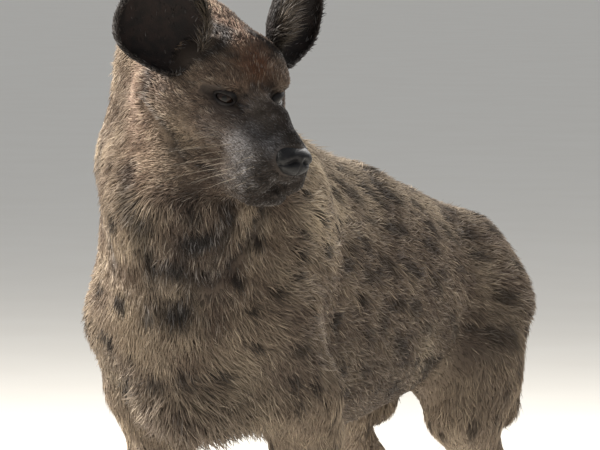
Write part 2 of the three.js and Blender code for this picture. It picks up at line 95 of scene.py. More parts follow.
# Fields: roughly how far each point is outside a body. Every form is also noted down as a ball or rod,
# so that the skin can start from them.
forms = []


def bulb(centre, radii, turn=(0, 0, 0)):
    spin = turned("XYZ", turn)
    radii = np.array(radii, float)
    forms.append({"ball": centre, "radii": radii, "spin": spin})

    def field(points):
        local = (points - centre) @ spin / radii
        reach = np.linalg.norm(local, axis=1)
        return reach * (reach - 1) / np.maximum(np.linalg.norm(local / radii, axis=1), 1e-9)

    return field


def limb(start, startRadius, end, endRadius):
    axis = end - start
    forms.append({"rod": start, "radii": (startRadius, endRadius), "end": end})

    def field(points):
        away = points - start
        t = np.clip(away @ axis / (axis @ axis), 0, 1)
        gap = np.linalg.norm(away - t[:, None] * axis, axis=1)
        return gap - startRadius - t * (endRadius - startRadius)

    return field


def chain(softness, *stations):
    rods = [limb(*stations[i - 1], *stations[i]) for i in range(1, len(stations))]
    return melt(softness, *rods)


def melt(softness, *fields):
    def field(points):
        joined = fields[0](points)
        for other in fields[1:]:
            value = other(points)
            near = np.maximum(softness - np.abs(joined - value), 0) / softness
            joined = np.minimum(joined, value) - near * near * softness / 4
        return joined

    return field


def only(near, inner):
    # a field that is worked out only where it matters
    def field(points):
        value = np.full(len(points), 400.0)
        chosen = near(points)
        value[chosen] = inner(points[chosen])
        return value

    return field


body = {
    "withers": 800,
    "croup": 680,
    "chestHalfWidth": 132,
    "bellyHalfWidth": 142,
    "stance": 90,
    "foreBack": {1: 22, -1: 0},
    "hindBack": {1: 0, -1: 26},
    "eyeRadius": 13.5,
}


def trunkField():
    ribs = bulb(at(0, 205, 612), (body["chestHalfWidth"], 185, 172))
    belly = bulb(at(0, 10, 574), (body["bellyHalfWidth"], 235, 172))
    loin = bulb(at(0, -180, 572), (130, 190, 142))
    pelvis = bulb(at(0, -330, body["croup"] - 104), (108, 124, 92))
    breast = bulb(at(0, 338, 548), (98, 94, 120))
    withers = bulb(at(0, 225, body["withers"] - 92), (70, 165, 84))
    ridge = chain(
        20,
        (at(0, 215, body["withers"] - 62), 54),
        (at(0, -80, body["withers"] - 120), 62),
        (at(0, -312, body["croup"] - 62), 50),
    )
    return melt(70, ribs, belly, loin, pelvis, breast, withers, ridge)


def foreField(s):
    out = s * body["stance"]
    back = body["foreBack"][s]
    blade = bulb(at(s * 88, 280, 662), (50, 86, 140), (-18, s * -6, 0))
    elbow = at(out + s * 4, 244 - back, 430)
    arm = chain(30, (at(s * 92, 330, 575), 66), (at(s * 100, 264, 486), 54), (elbow, 42))
    forearm = chain(
        20,
        (elbow, 43),
        (at(out + s * 4, 264 - back, 340), 35),
        (at(out, 266 - back, 190), 25),
        (at(out, 270 - back, 150), 27),
        (at(out, 286 - back, 40), 26),
    )
    return melt(30, blade, arm, forearm)


def hindField(s):
    out = s * (body["stance"] - 4)
    back = body["hindBack"][s]
    rump = bulb(at(s * 66, -350, 559), (66, 108, 112), (12, 0, 0))
    thigh = chain(40, (at(s * 78, -335, 545), 92), (at(s * 96, -285, 455), 66), (at(s * 100, -262, 408), 46))
    ham = chain(30, (at(s * 66, -405, 560), 58), (at(s * 90, -385, 410), 40))
    knee, hock = (at(s * 98, -272, 408), 44), (at(out, -415 - back, 236), 24)
    shank = chain(20, knee, (at(s * 92, -350 - back * 0.5, 320), 34), hock)
    heel = limb(at(out, -425 - back, 246), 19, at(out, -405 - back, 200), 22)
    shin = chain(
        14,
        (at(out, -412 - back, 226), 24),
        (at(out, -398 - back, 130), 22),
        (at(out, -380 - back, 48), 25),
    )
    return melt(30, rump, thigh, ham, shank, melt(10, heel, shin))


def neckField():
    column = chain(
        60,
        (at(-8, 280, 690), 134),
        (at(-14, 345, 775), 98),
        (onHead(4, -140, -6), 70),
        (onHead(0, -95, -16), 62),
    )
    throat = chain(50, (at(0, 350, 610), 102), (at(14, 400, 730), 84), (onHead(0, -95, -66), 52))
    nape = chain(40, (at(0, 190, 752), 56), (at(-10, 280, 826), 56), (onHead(0, -132, 16), 52))
    return melt(50, column, throat, nape)


def headField():
    noted = len(forms)
    pair = (1, -1)
    brain = bulb(at(0, -86, 16), (68, 80, 58))
    forehead = bulb(at(0, -44, 16), (54, 48, 46))
    temples = [bulb(at(s * 46, -54, 14), (32, 46, 40)) for s in pair]
    jowls = [bulb(at(s * 52, -84, -36), (40, 56, 52), (0, 0, s * 6)) for s in pair]
    arches = [limb(at(s * 48, -14, -28), 19, at(s * 78, -84, -16), 25) for s in pair]
    brows = [bulb(at(s * 35, -9, 17), (21, 19, 11), (0, s * -14, s * -24)) for s in pair]
    muzzle = [limb(at(s * 20, -6, -38), 35, at(s * 16, 68, -56), 29) for s in pair]
    bridge = chain(10, (at(0, -12, -6), 22), (at(0, 48, -16), 20), (at(0, 92, -40), 18))
    lips = [bulb(at(s * 25, 46, -77), (20, 45, 23), (6, 0, s * 4)) for s in pair]
    pad = bulb(at(0, 82, -50), (23, 20, 21))
    jaws = [limb(at(s * 36, -64, -82), 30, at(s * 14, 54, -99), 18) for s in pair]
    chin = bulb(at(0, 60, -101), (23, 20, 15))
    for form in forms[noted:]:
        form["onHead"] = True
    skull = melt(26, brain, forehead, *temples, *jowls, *arches)
    face = melt(14, *muzzle, bridge, *lips, chin, *jaws, pad)
    whole = melt(22, skull, melt(12, *brows, face))
    near = lambda points: np.linalg.norm(points - onHead(0, -40, -20), axis=1) < 330
    return only(near, lambda points: whole((points - headPlace["eyesMidway"]) @ headTurn))


def tailField():
    rump, root = (at(0, -425, 640), 36), (at(0, -482, 604), 25)
    return chain(14, rump, root, (at(0, -516, 520), 19), (at(0, -522, 372), 13))


paws = {
    "ankles": [(at(s * 90, 292 - body["foreBack"][s], 0), 1.0) for s in (1, -1)]
    + [(at(s * 86, -372 - body["hindBack"][s], 0), 0.88) for s in (1, -1)],
    "slots": (-1.5, -0.5, 0.5, 1.5),
    "fan": 7,
    "spread": 19,
    "middleAhead": 44,
    "outerAhead": 33,
    "toeHeight": 15,
}


def toesOf(ankle, scale):
    # the middle and the way ahead of each toe
    for slot in paws["slots"]:
        ahead = paws["middleAhead"] if abs(slot) < 1 else paws["outerAhead"]
        turn = math.radians(slot * paws["fan"])
        middle = ankle + at(slot * paws["spread"] * scale, ahead * scale, paws["toeHeight"])
        yield slot, middle, at(math.sin(turn), math.cos(turn), 0)


def pawField(ankle, scale):
    pad = bulb(ankle + at(0, 4, 22), (32 * scale, 39 * scale, 26))
    toes = [
        bulb(middle, (11.5 * scale, 24 * scale, 15.5), (0, 0, -slot * paws["fan"]))
        for slot, middle, _ in toesOf(ankle, scale)
    ]
    return only(lambda points: points[:, 2] < 110, melt(9, pad, melt(3, *toes)))


trunk = melt(44, trunkField(), foreField(1), foreField(-1), hindField(1), hindField(-1))
whole = melt(24, melt(20, melt(54, trunk, neckField()), tailField()), headField())
flesh = melt(8, whole, *[pawField(*paw) for paw in paws["ankles"]])


def slopeOf(points, here=None, step=0.6):
    # the way out of the flesh at each point
    here = flesh(points) if here is None else here
    return np.stack([flesh(points + step * axis) - here for axis in np.eye(3)], 1) / step


def drawn(points, level=0.0, rounds=3, longest=9):
    # points moved straight onto the flesh's surface, or to a level under it, by short steps
    for _ in range(rounds):
        here = flesh(points)
        slope = slopeOf(points, here)
        move = (level - here) / np.maximum((slope**2).sum(1), 0.15)
        points = points + np.clip(move, -longest, longest)[:, None] * slope
    return points


def outTo(inside, way, reach=400.0):
    # the point where a straight way out of the flesh leaves it
    near, far = 0.0, reach
    while far - near > 0.05:
        half = (near + far) / 2
        if flesh((inside + way * half)[None])[0] < 0:
            near = half
        else:
            far = half
    return inside + way * far


def eyeFrom(s):
    # an eye's middle, just under the face
    return outTo(onHead(s * 18, -26, -3), gaze[s]) - gaze[s] * (body["eyeRadius"] - 0.5)


def boxMiddle(node):
    return 1000 * np.mean(np.array(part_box(node)), axis=0)


gaze = {s: headWay(s * 0.66, 0.75, 0.04) for s in (1, -1)}
eyeMiddle = {s: eyeFrom(s) for s in (1, -1)}
eyeNodes = {1: "eye_left", -1: "eye_right"}
partMiddle = sum(eyeMiddle[s] - boxMiddle(eyeNodes[s]) for s in (1, -1)) / 2
print("the frame's origin in the model:", [round(v, 2) for v in partMiddle])


def toPart(metres):
    return metres * 1000 + partMiddle


def toFrame(points):
    return (points - partMiddle) / 1000


# Regions of the coat, each from 0 to 1, that add up to 1 at every point

coats = {
    "trunk": {"depth": 8.0, "length": 23, "width": 1.9, "lift": 13, "gap": 3.3},
    "neck": {"depth": 8.0, "length": 20, "width": 1.7, "lift": 15, "gap": 3.0},
    "mane": {"depth": 9.0, "length": 38, "width": 2.0, "lift": 28, "gap": 3.0},
    "belly": {"depth": 7.0, "length": 18, "width": 1.9, "lift": 12, "gap": 3.6},
    "leg": {"depth": 4.0, "length": 11, "width": 1.5, "lift": 12, "gap": 2.9},
    "paw": {"depth": 2.0, "length": 6.5, "width": 1.4, "lift": 11, "gap": 2.4},
    "tail": {"depth": 5.0, "length": 22, "width": 1.8, "lift": 11, "gap": 2.7},
    "crown": {"depth": 3.6, "length": 14, "width": 1.3, "lift": 16, "gap": 2.1},
    "face": {"depth": 2.0, "length": 7.5, "width": 1.05, "lift": 15, "gap": 1.6},
    "muzzle": {"depth": 1.0, "length": 4.4, "width": 0.9, "lift": 14, "gap": 1.35},
}
regionNames = list(coats)


def named(shares):
    # each region's share by its name
    return dict(zip(regionNames, shares.T))


def regionsOf(points):
    left, y, up = points.T
    ahead = -y
    headLeft, headAhead, headUp = headPlaces(points)
    inFront = np.minimum(0.96 * (headAhead + 122) + 0.28 * headUp, (headUp + 132) - 0.1 * (headAhead + 70))
    head = ease(np.minimum(inFront, 110 - np.abs(headLeft)), -16, 12)
    share = {}
    share["muzzle"] = head * ease(headAhead, 6, 46)
    face = head * (1 - ease(headAhead, 6, 46))
    behind = -headAhead + 0.4 * np.maximum(headUp, 0) - 0.3 * np.minimum(headUp, 0)
    share["crown"] = face * ease(behind, 52, 96)
    share["face"] = face - share["crown"]
    rest = 1 - head
    neckSide = 0.86 * (ahead - 350) + 0.5 * (up - 700)
    tail = ease(-ahead, 462, 482) * ease(up, 300, 340) * ease(np.abs(left), 62, 48)
    legSide = 0.6 * (np.abs(left) - 57) - 0.8 * (up - 440)
    leg = ease(legSide, -30, 34) * np.maximum(ease(ahead, 140, 180), ease(-ahead, 180, 220)) * (1 - tail)
    paw = ease(up, 96, 58) * leg
    neck = ease(neckSide, -46, 40) * (1 - leg)
    onRidge = bell(left - 2 + 10 * ease(ahead, 200, 320), 40) * ease(up, 660, 720) * ease(ahead, -60, 60)
    mane = onRidge * (1 - 0.4 * ease(neckSide, 60, 160))
    belly = ease(up, 505, 440) * (1 - leg) * (1 - neck) * (1 - tail)
    share["tail"] = rest * tail
    share["paw"] = rest * paw
    share["leg"] = rest * (leg - paw)
    share["mane"] = rest * mane * (1 - leg) * (1 - tail)
    others = rest - share["tail"] - share["paw"] - share["leg"] - share["mane"]
    share["neck"] = others * neck
    share["belly"] = others * (1 - neck) * belly
    share["trunk"] = others * (1 - neck) * (1 - belly)
    return np.stack([share[name] for name in regionNames], 1)


def mixed(shares, key):
    return shares @ np.array([coats[name][key] for name in regionNames], float)


def waves(points, size, seed, count=7):
    # smooth seeded ups and downs between about -1 and 1, a size across
    draw = np.random.default_rng(seed)
    ways = draw.normal(size=(count, 3))
    ways = ways / np.linalg.norm(ways, axis=1, keepdims=True) * (2 * np.pi / size)
    ways = ways * draw.uniform(0.7, 1.4, (count, 1))
    starts = draw.uniform(0, 2 * np.pi, count)
    return np.sin(points @ ways.T + starts).sum(1) / math.sqrt(count / 2) / 1.6


def lieOf(points, shares):
    # the way that the coat lies, before it is laid flat on the skin
    left, y, up = points.T
    ahead = -y
    side = np.sign(left)
    ones = np.ones(len(points))
    share = named(shares)
    headLeft, _, headUp = headPlaces(points)
    headBack = -headTurn @ at(0, 1, 0)
    headSide = headTurn @ at(1, 0, 0)
    headRise = headTurn @ at(0, 0, 1)
    outward = np.clip(headLeft / 50, -1, 1)[:, None]
    below = ease(headUp, -30, -70)[:, None]
    muzzle = headBack + 0.35 * outward * headSide - 0.25 * np.abs(outward) * headRise
    face = headBack + 0.45 * outward * headSide + (0.25 - 0.9 * below) * headRise
    down = np.stack([0 * ones, 0.15 * ones, -ones], 1)
    backward = np.stack([0.05 * side, ones, -0.42 * ease(np.abs(left), 20, 110) - 0.05], 1)
    neckDown = unit(np.stack([-0.25 * ones, 0.45 * ones, -0.9 * ones], 1))
    chest = ease(ahead, 300, 380)[:, None] * ease(up, 760, 640)[:, None]
    neck = neckDown * (1 - chest) + chest * down
    lie = muzzle * share["muzzle"][:, None] + face * share["face"][:, None]
    lie += unit(face + 0.6 * neckDown) * share["crown"][:, None]
    lie += neck * share["neck"][:, None] + unit(backward) * (share["trunk"] + share["belly"])[:, None]
    lie += unit(np.stack([0.1 * side, 0.8 * ones, -0.1 * ones], 1)) * share["mane"][:, None]
    lie += down * (share["leg"] + share["tail"])[:, None]
    lie += unit(np.stack([0 * ones, -0.9 * ones, -0.45 * ones], 1)) * share["paw"][:, None]
    return unit(lie)


# The skin

skinSet = {"voxel": 0.0076, "evenings": 2, "finerAhead": (-112, -42)}


def placeOf(middle, axes):
    matrix = np.eye(4)
    matrix[:3, :3] = axes
    matrix[:3, 3] = middle
    return matrix


def meshFrom(work, name, smooth=True):
    # the worked mesh as a finished one
    mesh = bpy.data.meshes.new(name)
    work.to_mesh(mesh)
    work.free()
    if smooth:
        mesh.shade_smooth()
    return mesh


def roughBody():
    # balls and rods of every form, to be joined by the remesh
    mesh = bmesh.new()
    headMatrix = placeOf(headPlace["eyesMidway"], headTurn)
    for form in forms:
        before = headMatrix if form.get("onHead") else np.eye(4)
        if "ball" in form:
            ball = Matrix(before @ placeOf(form["ball"], form["spin"] * form["radii"]))
            bmesh.ops.create_icosphere(mesh, subdivisions=4, radius=1, matrix=ball)
            continue
        start, end = form["rod"], form["end"]
        low, high = form["radii"]
        for middle, radius in ((start, low), (end, high)):
            ball = Matrix(before @ placeOf(middle, radius * np.eye(3)))
            bmesh.ops.create_icosphere(mesh, subdivisions=3, radius=1, matrix=ball)
        turn = Vector(end - start).to_track_quat("Z", "Y").to_matrix().to_4x4()
        place = Matrix.Translation(Vector((start + end) / 2)) @ turn
        bmesh.ops.create_cone(
            mesh,
            cap_ends=True,
            segments=32,
            radius1=low,
            radius2=high,
            depth=float(np.linalg.norm(end - start)),
            matrix=Matrix(before) @ place,
        )
    for vert in mesh.verts:
        vert.co = Vector(toFrame(np.array(vert.co)))
    return meshFrom(mesh, "skin", smooth=False)


def newObject(name, mesh):
    item = bpy.data.objects.new(name, mesh)
    bpy.context.scene.collection.objects.link(item)
    return item


def applied(item):
    # the modifiers' result becomes the mesh
    graph = bpy.context.evaluated_depsgraph_get()
    result = bpy.data.meshes.new_from_object(item.evaluated_get(graph))
    item.modifiers.clear()
    item.data = result
    return item


def pointsOf(mesh):
    points = np.empty(len(mesh.vertices) * 3)
    mesh.vertices.foreach_get("co", points)
    return points.reshape(-1, 3)


def normalsOf(mesh):
    normals = np.empty(len(mesh.vertices) * 3)
    mesh.vertices.foreach_get("normal", normals)
    return normals.reshape(-1, 3)


def setPoints(mesh, points):
    mesh.vertices.foreach_set("co", points.astype(np.float32).ravel())
    mesh.update()


def evened(points, links, amount):
    # each point moved towards the middle of its neighbours
    total = np.zeros_like(points)
    count = np.zeros(len(points))
    for a, b in (links, links[::-1]):
        for axis in range(3):
            total[:, axis] += np.bincount(a, points[b, axis], len(points))
        count += np.bincount(a, minlength=len(points))
    return points + amount * (total / np.maximum(count, 1)[:, None] - points)


def linksOf(mesh):
    links = np.empty(len(mesh.edges) * 2, int)
    mesh.edges.foreach_get("vertices", links)
    return links.reshape(-1, 2).T


def depthAt(points):
    return mixed(regionsOf(points), "depth")


def settle(points, links, rounds):
    for _ in range(rounds):
        points = drawn(points, -depthAt(points), 2)
        points = evened(points, links, 0.5)
    return drawn(points, -depthAt(points), 2)


def finer(mesh, chosen):
    # edges of the chosen part of the skin are halved
    work = bmesh.new()
    work.from_mesh(mesh)
    work.verts.ensure_lookup_table()
    edges = [e for e in work.edges if chosen[e.verts[0].index] and chosen[e.verts[1].index]]
    bmesh.ops.subdivide_edges(work, edges=edges, cuts=1, use_grid_fill=True)
    loose = [f for f in work.faces if len(f.verts) > 4]
    bmesh.ops.triangulate(work, faces=loose)
    work.to_mesh(mesh)
    work.free()


skin = newObject("skin", roughBody())
remesh = skin.modifiers.new("join", "REMESH")
remesh.mode = "VOXEL"
remesh.voxel_size = skinSet["voxel"]
remesh.use_smooth_shade = True
applied(skin)
print("rough skin:", len(skin.data.polygons), "faces")

points = toPart(pointsOf(skin.data))
points = settle(points, linksOf(skin.data), skinSet["evenings"])
setPoints(skin.data, toFrame(points))
for limit in skinSet["finerAhead"]:
    points = toPart(pointsOf(skin.data))
    headLeft, headAhead, headUp = headPlaces(points)
    near = np.maximum(np.abs(headLeft) - 95, 0) + np.maximum(-125 - headUp, 0)
    finer(skin.data, (headAhead > limit) & (near < 1))
points = toPart(pointsOf(skin.data))
points = settle(points, linksOf(skin.data), 1)
print("finer skin:", len(skin.data.polygons), "faces")

# Folds, lips, lids and sockets, pressed into the skin or raised from it. Stations are to the head's
# left, ahead and up, and depth is negative for a ridge.


def lineOn(stations, place, step=3.0):
    stations = np.array(stations, float)
    along = np.concatenate([[0], np.cumsum(np.linalg.norm(np.diff(stations, axis=0), axis=1))])
    marks = np.linspace(0, along[-1], max(3, int(along[-1] / step)))
    line = np.stack([np.interp(marks, along, stations[:, axis]) for axis in range(3)], 1)
    line = np.array([place(*point) for point in line])
    return drawn(line, -depthAt(line), 3)


def mirrored(stations, s):
    return [(s * left, ahead, up) for left, ahead, up in stations]


def awayFrom(points, line):
    return np.min(np.linalg.norm(points[:, None] - line[None], axis=2), axis=1)


mouthLine = [(0, 93, -87), (10, 88, -92), (18, 80, -96), (30, 47, -104), (38, 24, -95), (48, -29, -90)]
headFolds = [
    {"line": mouthLine, "width": 2.3, "depth": 3.4},
    {"line": [(6, 92, -79), (20, 78, -86), (32, 46, -94), (41, 22, -84)], "width": 6, "depth": -1.8},
    {"line": [(0, 84, -97), (16, 74, -106), (28, 44, -112), (36, 20, -104)], "width": 4, "depth": -1.6},
    {"line": [(48, -29, -90), (54, -46, -80), (58, -58, -66)], "width": 4, "depth": 1.8},
    {"line": [(17, 8, 4), (26, 6, 11), (38, -3, 14), (52, -18, 8)], "width": 2.8, "depth": 1.9},
    {"line": [(15, 12, 10), (26, 9, 19), (40, -4, 21)], "width": 6, "depth": -2.2},
    {"line": [(18, 12, -9), (30, 5, -14), (44, -9, -12), (54, -22, -6)], "width": 2.6, "depth": 1.8},
    {"line": [(22, 18, -16), (34, 8, -24), (50, -12, -22)], "width": 3.4, "depth": 1.3},
    {"line": [(24, 20, -11), (38, 4, -19), (50, -14, -16)], "width": 3, "depth": -1.0},
    {"line": [(80, -92, 6), (82, -80, -20), (72, -56, -50), (62, -42, -72)], "width": 6, "depth": 4.0},
    {"line": [(74, -70, 8), (74, -58, -18), (64, -34, -44)], "width": 9, "depth": -2.2},
    {"line": [(30, 60, -52), (34, 36, -56), (36, 12, -54)], "width": 4, "depth": 0.9},
    {"line": [(30, 62, -64), (36, 36, -70), (38, 10, -68)], "width": 4, "depth": 0.9},
    {"line": [(9, 84, -12), (13, 60, -8), (16, 36, -2)], "width": 6, "depth": 0.9},
    {"line": [(3, -60, 66), (3, -20, 52), (2, 6, 22)], "width": 7, "depth": 1.2},
]
neckFolds = [
    {"line": [(90, 330, 800), (104, 372, 742), (100, 408, 682), (70, 440, 630)], "width": 9, "depth": 7.0},
    {"line": [(60, 420, 748), (72, 430, 690), (56, 446, 628)], "width": 8, "depth": 6.0},
    {"line": [(-10, 452, 762), (2, 464, 700), (0, 462, 640)], "width": 9, "depth": 5.5},
    {"line": [(-78, 408, 790), (-84, 424, 728), (-70, 428, 664)], "width": 9, "depth": 6.0},
    {"line": [(-104, 330, 860), (-112, 352, 800), (-108, 372, 730)], "width": 10, "depth": 5.0},
    {"line": [(24, 440, 760), (34, 452, 696), (24, 460, 636)], "width": 12, "depth": -3.0},
    {"line": [(-46, 436, 790), (-44, 452, 720), (-36, 456, 652)], "width": 12, "depth": -3.0},
]


def folded(points):
    normals = unit(slopeOf(points))
    headLeft, headAhead, headUp = headPlaces(points)
    nearHead = (headAhead > -140) & (headUp > -150) & (np.abs(headLeft) < 120)
    nearNeck = (points[:, 2] > 560) & (-points[:, 1] > 240)
    move = np.zeros(len(points))
    for fold in headFolds:
        for s in (1, -1):
            line = lineOn(mirrored(fold["line"], s), onHead)
            move[nearHead] -= fold["depth"] * bell(awayFrom(points[nearHead], line), fold["width"])
    for fold in neckFolds:
        line = lineOn(fold["line"], at, 6.0)
        move[nearNeck] -= fold["depth"] * bell(awayFrom(points[nearNeck], line), fold["width"])
    return points + normals * move[:, None]


eyeSet = {
    "halfWidth": 12.4,
    "above": 4.3,
    "below": 4.4,
    "tilt": 10,
    "covered": 24,
    "loops": ((0.0, 0.35), (0.2, 1.7), (1.4, 2.7), (4.0, 3.1), (7.0, 2.2), (10.5, -0.6)),
}


def eyeAxes(s):
    # out to the side and up across the eye's opening
    rise = headWay(0, 0, 1)
    rise = unit(rise - (rise @ gaze[s]) * gaze[s])
    out = np.cross(rise, gaze[s]) * s
    out = out if out @ headWay(s, 0, 0) > 0 else -out
    tilt = math.radians(eyeSet["tilt"])
    return math.cos(tilt) * out + math.sin(tilt) * rise, math.cos(tilt) * rise - math.sin(tilt) * out


def eyePlaces(points, s):
    # distance from the eye's middle, and how far outside its opening a point lies as seen from there
    away = points - eyeMiddle[s]
    reach = np.linalg.norm(away, axis=1)
    out, rise = eyeAxes(s)
    x, y, z = away @ out, away @ rise, away @ gaze[s]
    flat = np.maximum(np.hypot(x, y), 1e-6)
    arc = np.arctan2(flat, z) * body["eyeRadius"]
    x, y = x / flat * arc, y / flat * arc
    height = np.where(y > 0, eyeSet["above"], eyeSet["below"])
    share = np.maximum(np.hypot(x / eyeSet["halfWidth"], y / height), 1e-6)
    return reach, (share - 1) / share * arc


def socketed(points):
    for s in (1, -1):
        reach, outside = eyePlaces(points, s)
        near = np.nonzero((reach < body["eyeRadius"] + eyeSet["covered"]) & (outside < 22))[0]
        away = points[near] - eyeMiddle[s]
        reach, outside = reach[near], outside[near]
        raised = np.maximum(reach, body["eyeRadius"] + 1.9 * ease(outside, 20, 8))
        target = np.where(outside < 3.4, np.minimum(reach, body["eyeRadius"] - 5), raised)
        points[near] = eyeMiddle[s] + away / reach[:, None] * target[:, None]
    return points


points = folded(points)
points = socketed(points)
points[:, 2] = np.maximum(points[:, 2], 0.7)
setPoints(skin.data, toFrame(points))
skin.data.shade_smooth()
print("skin folded")

# Ears: round cups, open ahead

ears = {
    "halfWidth": 60,
    "halfHeight": 60,
    "halfDepth": 30,
    "inset": 0.6,
    "front": -8,
    "wall": 3.0,
    "narrowing": 0.3,
    "lean": 14,
    "rimBend": 3.0,
    "rimWave": 1.2,
}
earPlace = {
    s: {"turn": headTurn @ turned("ZYX", (s * 24, s * 14, -4)), "middle": onHead(s * 105, -66, 71 + s * 7)}
    for s in (1, -1)
}


def earPoint(x, y, z, s):
    # a point of the unit ball on the ear's outer shape, in the ear's own place
    low = max(0.0, -z)
    width, depth, height = (ears[key] - ears["inset"] for key in ("halfWidth", "halfDepth", "halfHeight"))
    width *= 1 - ears["narrowing"] * low * low
    return np.array((x * width - s * ears["lean"] * low * low, y * depth, z * height))


def earPlaces(points, s):
    # a point's place in the ear, and its share of the way out to the ear's outer shape
    local = (points - earPlace[s]["middle"]) @ earPlace[s]["turn"]
    z = local[:, 2] / ears["halfHeight"]
    low = np.maximum(0, -z)
    width = ears["halfWidth"] * (1 - ears["narrowing"] * np.minimum(low, 1) ** 2)
    x = (local[:, 0] + s * ears["lean"] * np.minimum(low, 1) ** 2) / width
    return local, np.sqrt(x * x + (local[:, 1] / ears["halfDepth"]) ** 2 + z * z)


def makeEar(name, s):
    mesh = bmesh.new()
    bmesh.ops.create_uvsphere(mesh, u_segments=56, v_segments=36, radius=1)
    for vert in mesh.verts:
        vert.co = Vector(earPoint(*vert.co, s))
    cut = (0, ears["front"] + 1.0, 0)
    geometry = mesh.verts[:] + mesh.edges[:] + mesh.faces[:]
    bmesh.ops.bisect_plane(mesh, geom=geometry, plane_co=cut, plane_no=(0, -1, 0), clear_outer=True)
    bmesh.ops.recalc_face_normals(mesh, faces=mesh.faces)
    for vert in mesh.verts:
        x, y, z = vert.co
        rim = ease(y, 6, -8)
        inner = bell(np.array(x + s * 40), 16) * bell(np.array(z), 40)
        vert.co.y += ears["rimBend"] * rim * inner  # the rim bends in along its inner edge
        vert.co.x *= 1 - 0.03 * rim
        vert.co.z += ears["rimWave"] * math.sin(5 * math.atan2(z, x)) * rim
    bmesh.ops.solidify(mesh, geom=mesh.faces[:], thickness=ears["wall"])
    everyWay = {"use_axis_x": True, "use_axis_y": True, "use_axis_z": True}
    bmesh.ops.smooth_vert(mesh, verts=mesh.verts, factor=0.4, **everyWay)
    turn, middle = earPlace[s]["turn"], earPlace[s]["middle"]
    for vert in mesh.verts:
        vert.co = Vector(toFrame(turn @ np.array(vert.co) + middle))
    return newObject(name, meshFrom(mesh, name))


ear = {s: makeEar(name, s) for name, s in (("earLeft", 1), ("earRight", -1))}
print("ears made")

# Lids: a ring round each eye's opening that runs in under the skin


def ballPoint(s, x, y, above):
    # a point over the eye, by how far it is to the side and up along the ball
    out, rise = eyeAxes(s)
    arc = math.hypot(x, y)
    angle = arc / body["eyeRadius"]
    flat = (x * out + y * rise) / max(arc, 1e-6)
    return eyeMiddle[s] + (body["eyeRadius"] + above) * (math.cos(angle) * gaze[s] + math.sin(angle) * flat)


def makeLids():
    mesh = bmesh.new()
    stations = np.linspace(0, 1, len(eyeSet["loops"]))
    outsides, aboves = np.array(eyeSet["loops"]).T
    for s in (1, -1):
        grid = bmesh.ops.create_grid(mesh, x_segments=72, y_segments=14, size=1)["verts"]
        for vert in grid:
            angle, share = math.pi * vert.co.x, (vert.co.y + 1) / 2
            upper = math.sin(angle) > 0
            height = eyeSet["above"] if upper else eyeSet["below"]
            bulge = abs(math.sin(angle)) ** 1.2
            x, y = eyeSet["halfWidth"] * math.cos(angle), height * math.copysign(bulge, math.sin(angle))
            way = Vector((math.cos(angle) / eyeSet["halfWidth"], math.sin(angle) / height)).normalized()
            outside = float(np.interp(share, stations, outsides))
            above = float(np.interp(share, stations, aboves)) + (0.9 * bulge * (1 - share) if upper else 0)
            vert.co = Vector(toFrame(ballPoint(s, x + way.x * outside, y + way.y * outside, above)))
    bmesh.ops.remove_doubles(mesh, verts=mesh.verts, dist=1e-5)
    piece = meshFrom(mesh, "lids")
    points = toPart(pointsOf(piece))
    onLeft = np.linalg.norm(points - eyeMiddle[1], axis=1) < 40
    middle = np.where(onLeft[:, None], eyeMiddle[1], eyeMiddle[-1])
    if (normalsOf(piece) * (points - middle)).sum() < 0:
        piece.flip_normals()
    lids = newObject("lids", piece)
    wall = lids.modifiers.new("wall", "SOLIDIFY")
    wall.thickness = 0.0006
    return applied(lids)


def attribute(mesh, name, values):
    mesh.attributes.new(name, "FLOAT", "POINT").data.foreach_set("value", np.asarray(values, np.float32))


def makeEye(name, s):
    mesh = bmesh.new()
    bmesh.ops.create_icosphere(mesh, subdivisions=5, radius=body["eyeRadius"] / 1000)
    pupil = eyeMiddle[s] + gaze[s] * body["eyeRadius"]
    for vert in mesh.verts:
        vert.co += Vector(toFrame(eyeMiddle[s]))
    piece = meshFrom(mesh, name)
    attribute(piece, "fromPupil", np.linalg.norm(toPart(pointsOf(piece)) - pupil, axis=1))
    return newObject(name, piece)


lids = makeLids()
eye = {s: makeEye(name, s) for name, s in (("eyeLeft", 1), ("eyeRight", -1))}
print("eyes and lids made")

# Nose: a broad pad with a comma of a nostril on each side and a furrow down its middle

noseSet = {
    "middle": (0, 97, -47),
    "radii": (24.6, 18.8, 18.6),
    "pitch": 8,
    "squareness": 2.7,
    "nostril": [(7, 116, -44), (11, 116, -44), (17, 111, -48), (23, 101, -52)],
    "nostrilWidth": (4.6, 4.2, 3.0, 2.2),
    "nostrilDepth": (6.0, 7.5, 5.0, 2.6),
    "wing": (14, 113, -38),
    "wingWidth": 7,
    "wingRise": 1.3,
    "furrowWidth": 1.3,
    "furrowDepth": 1.6,
}


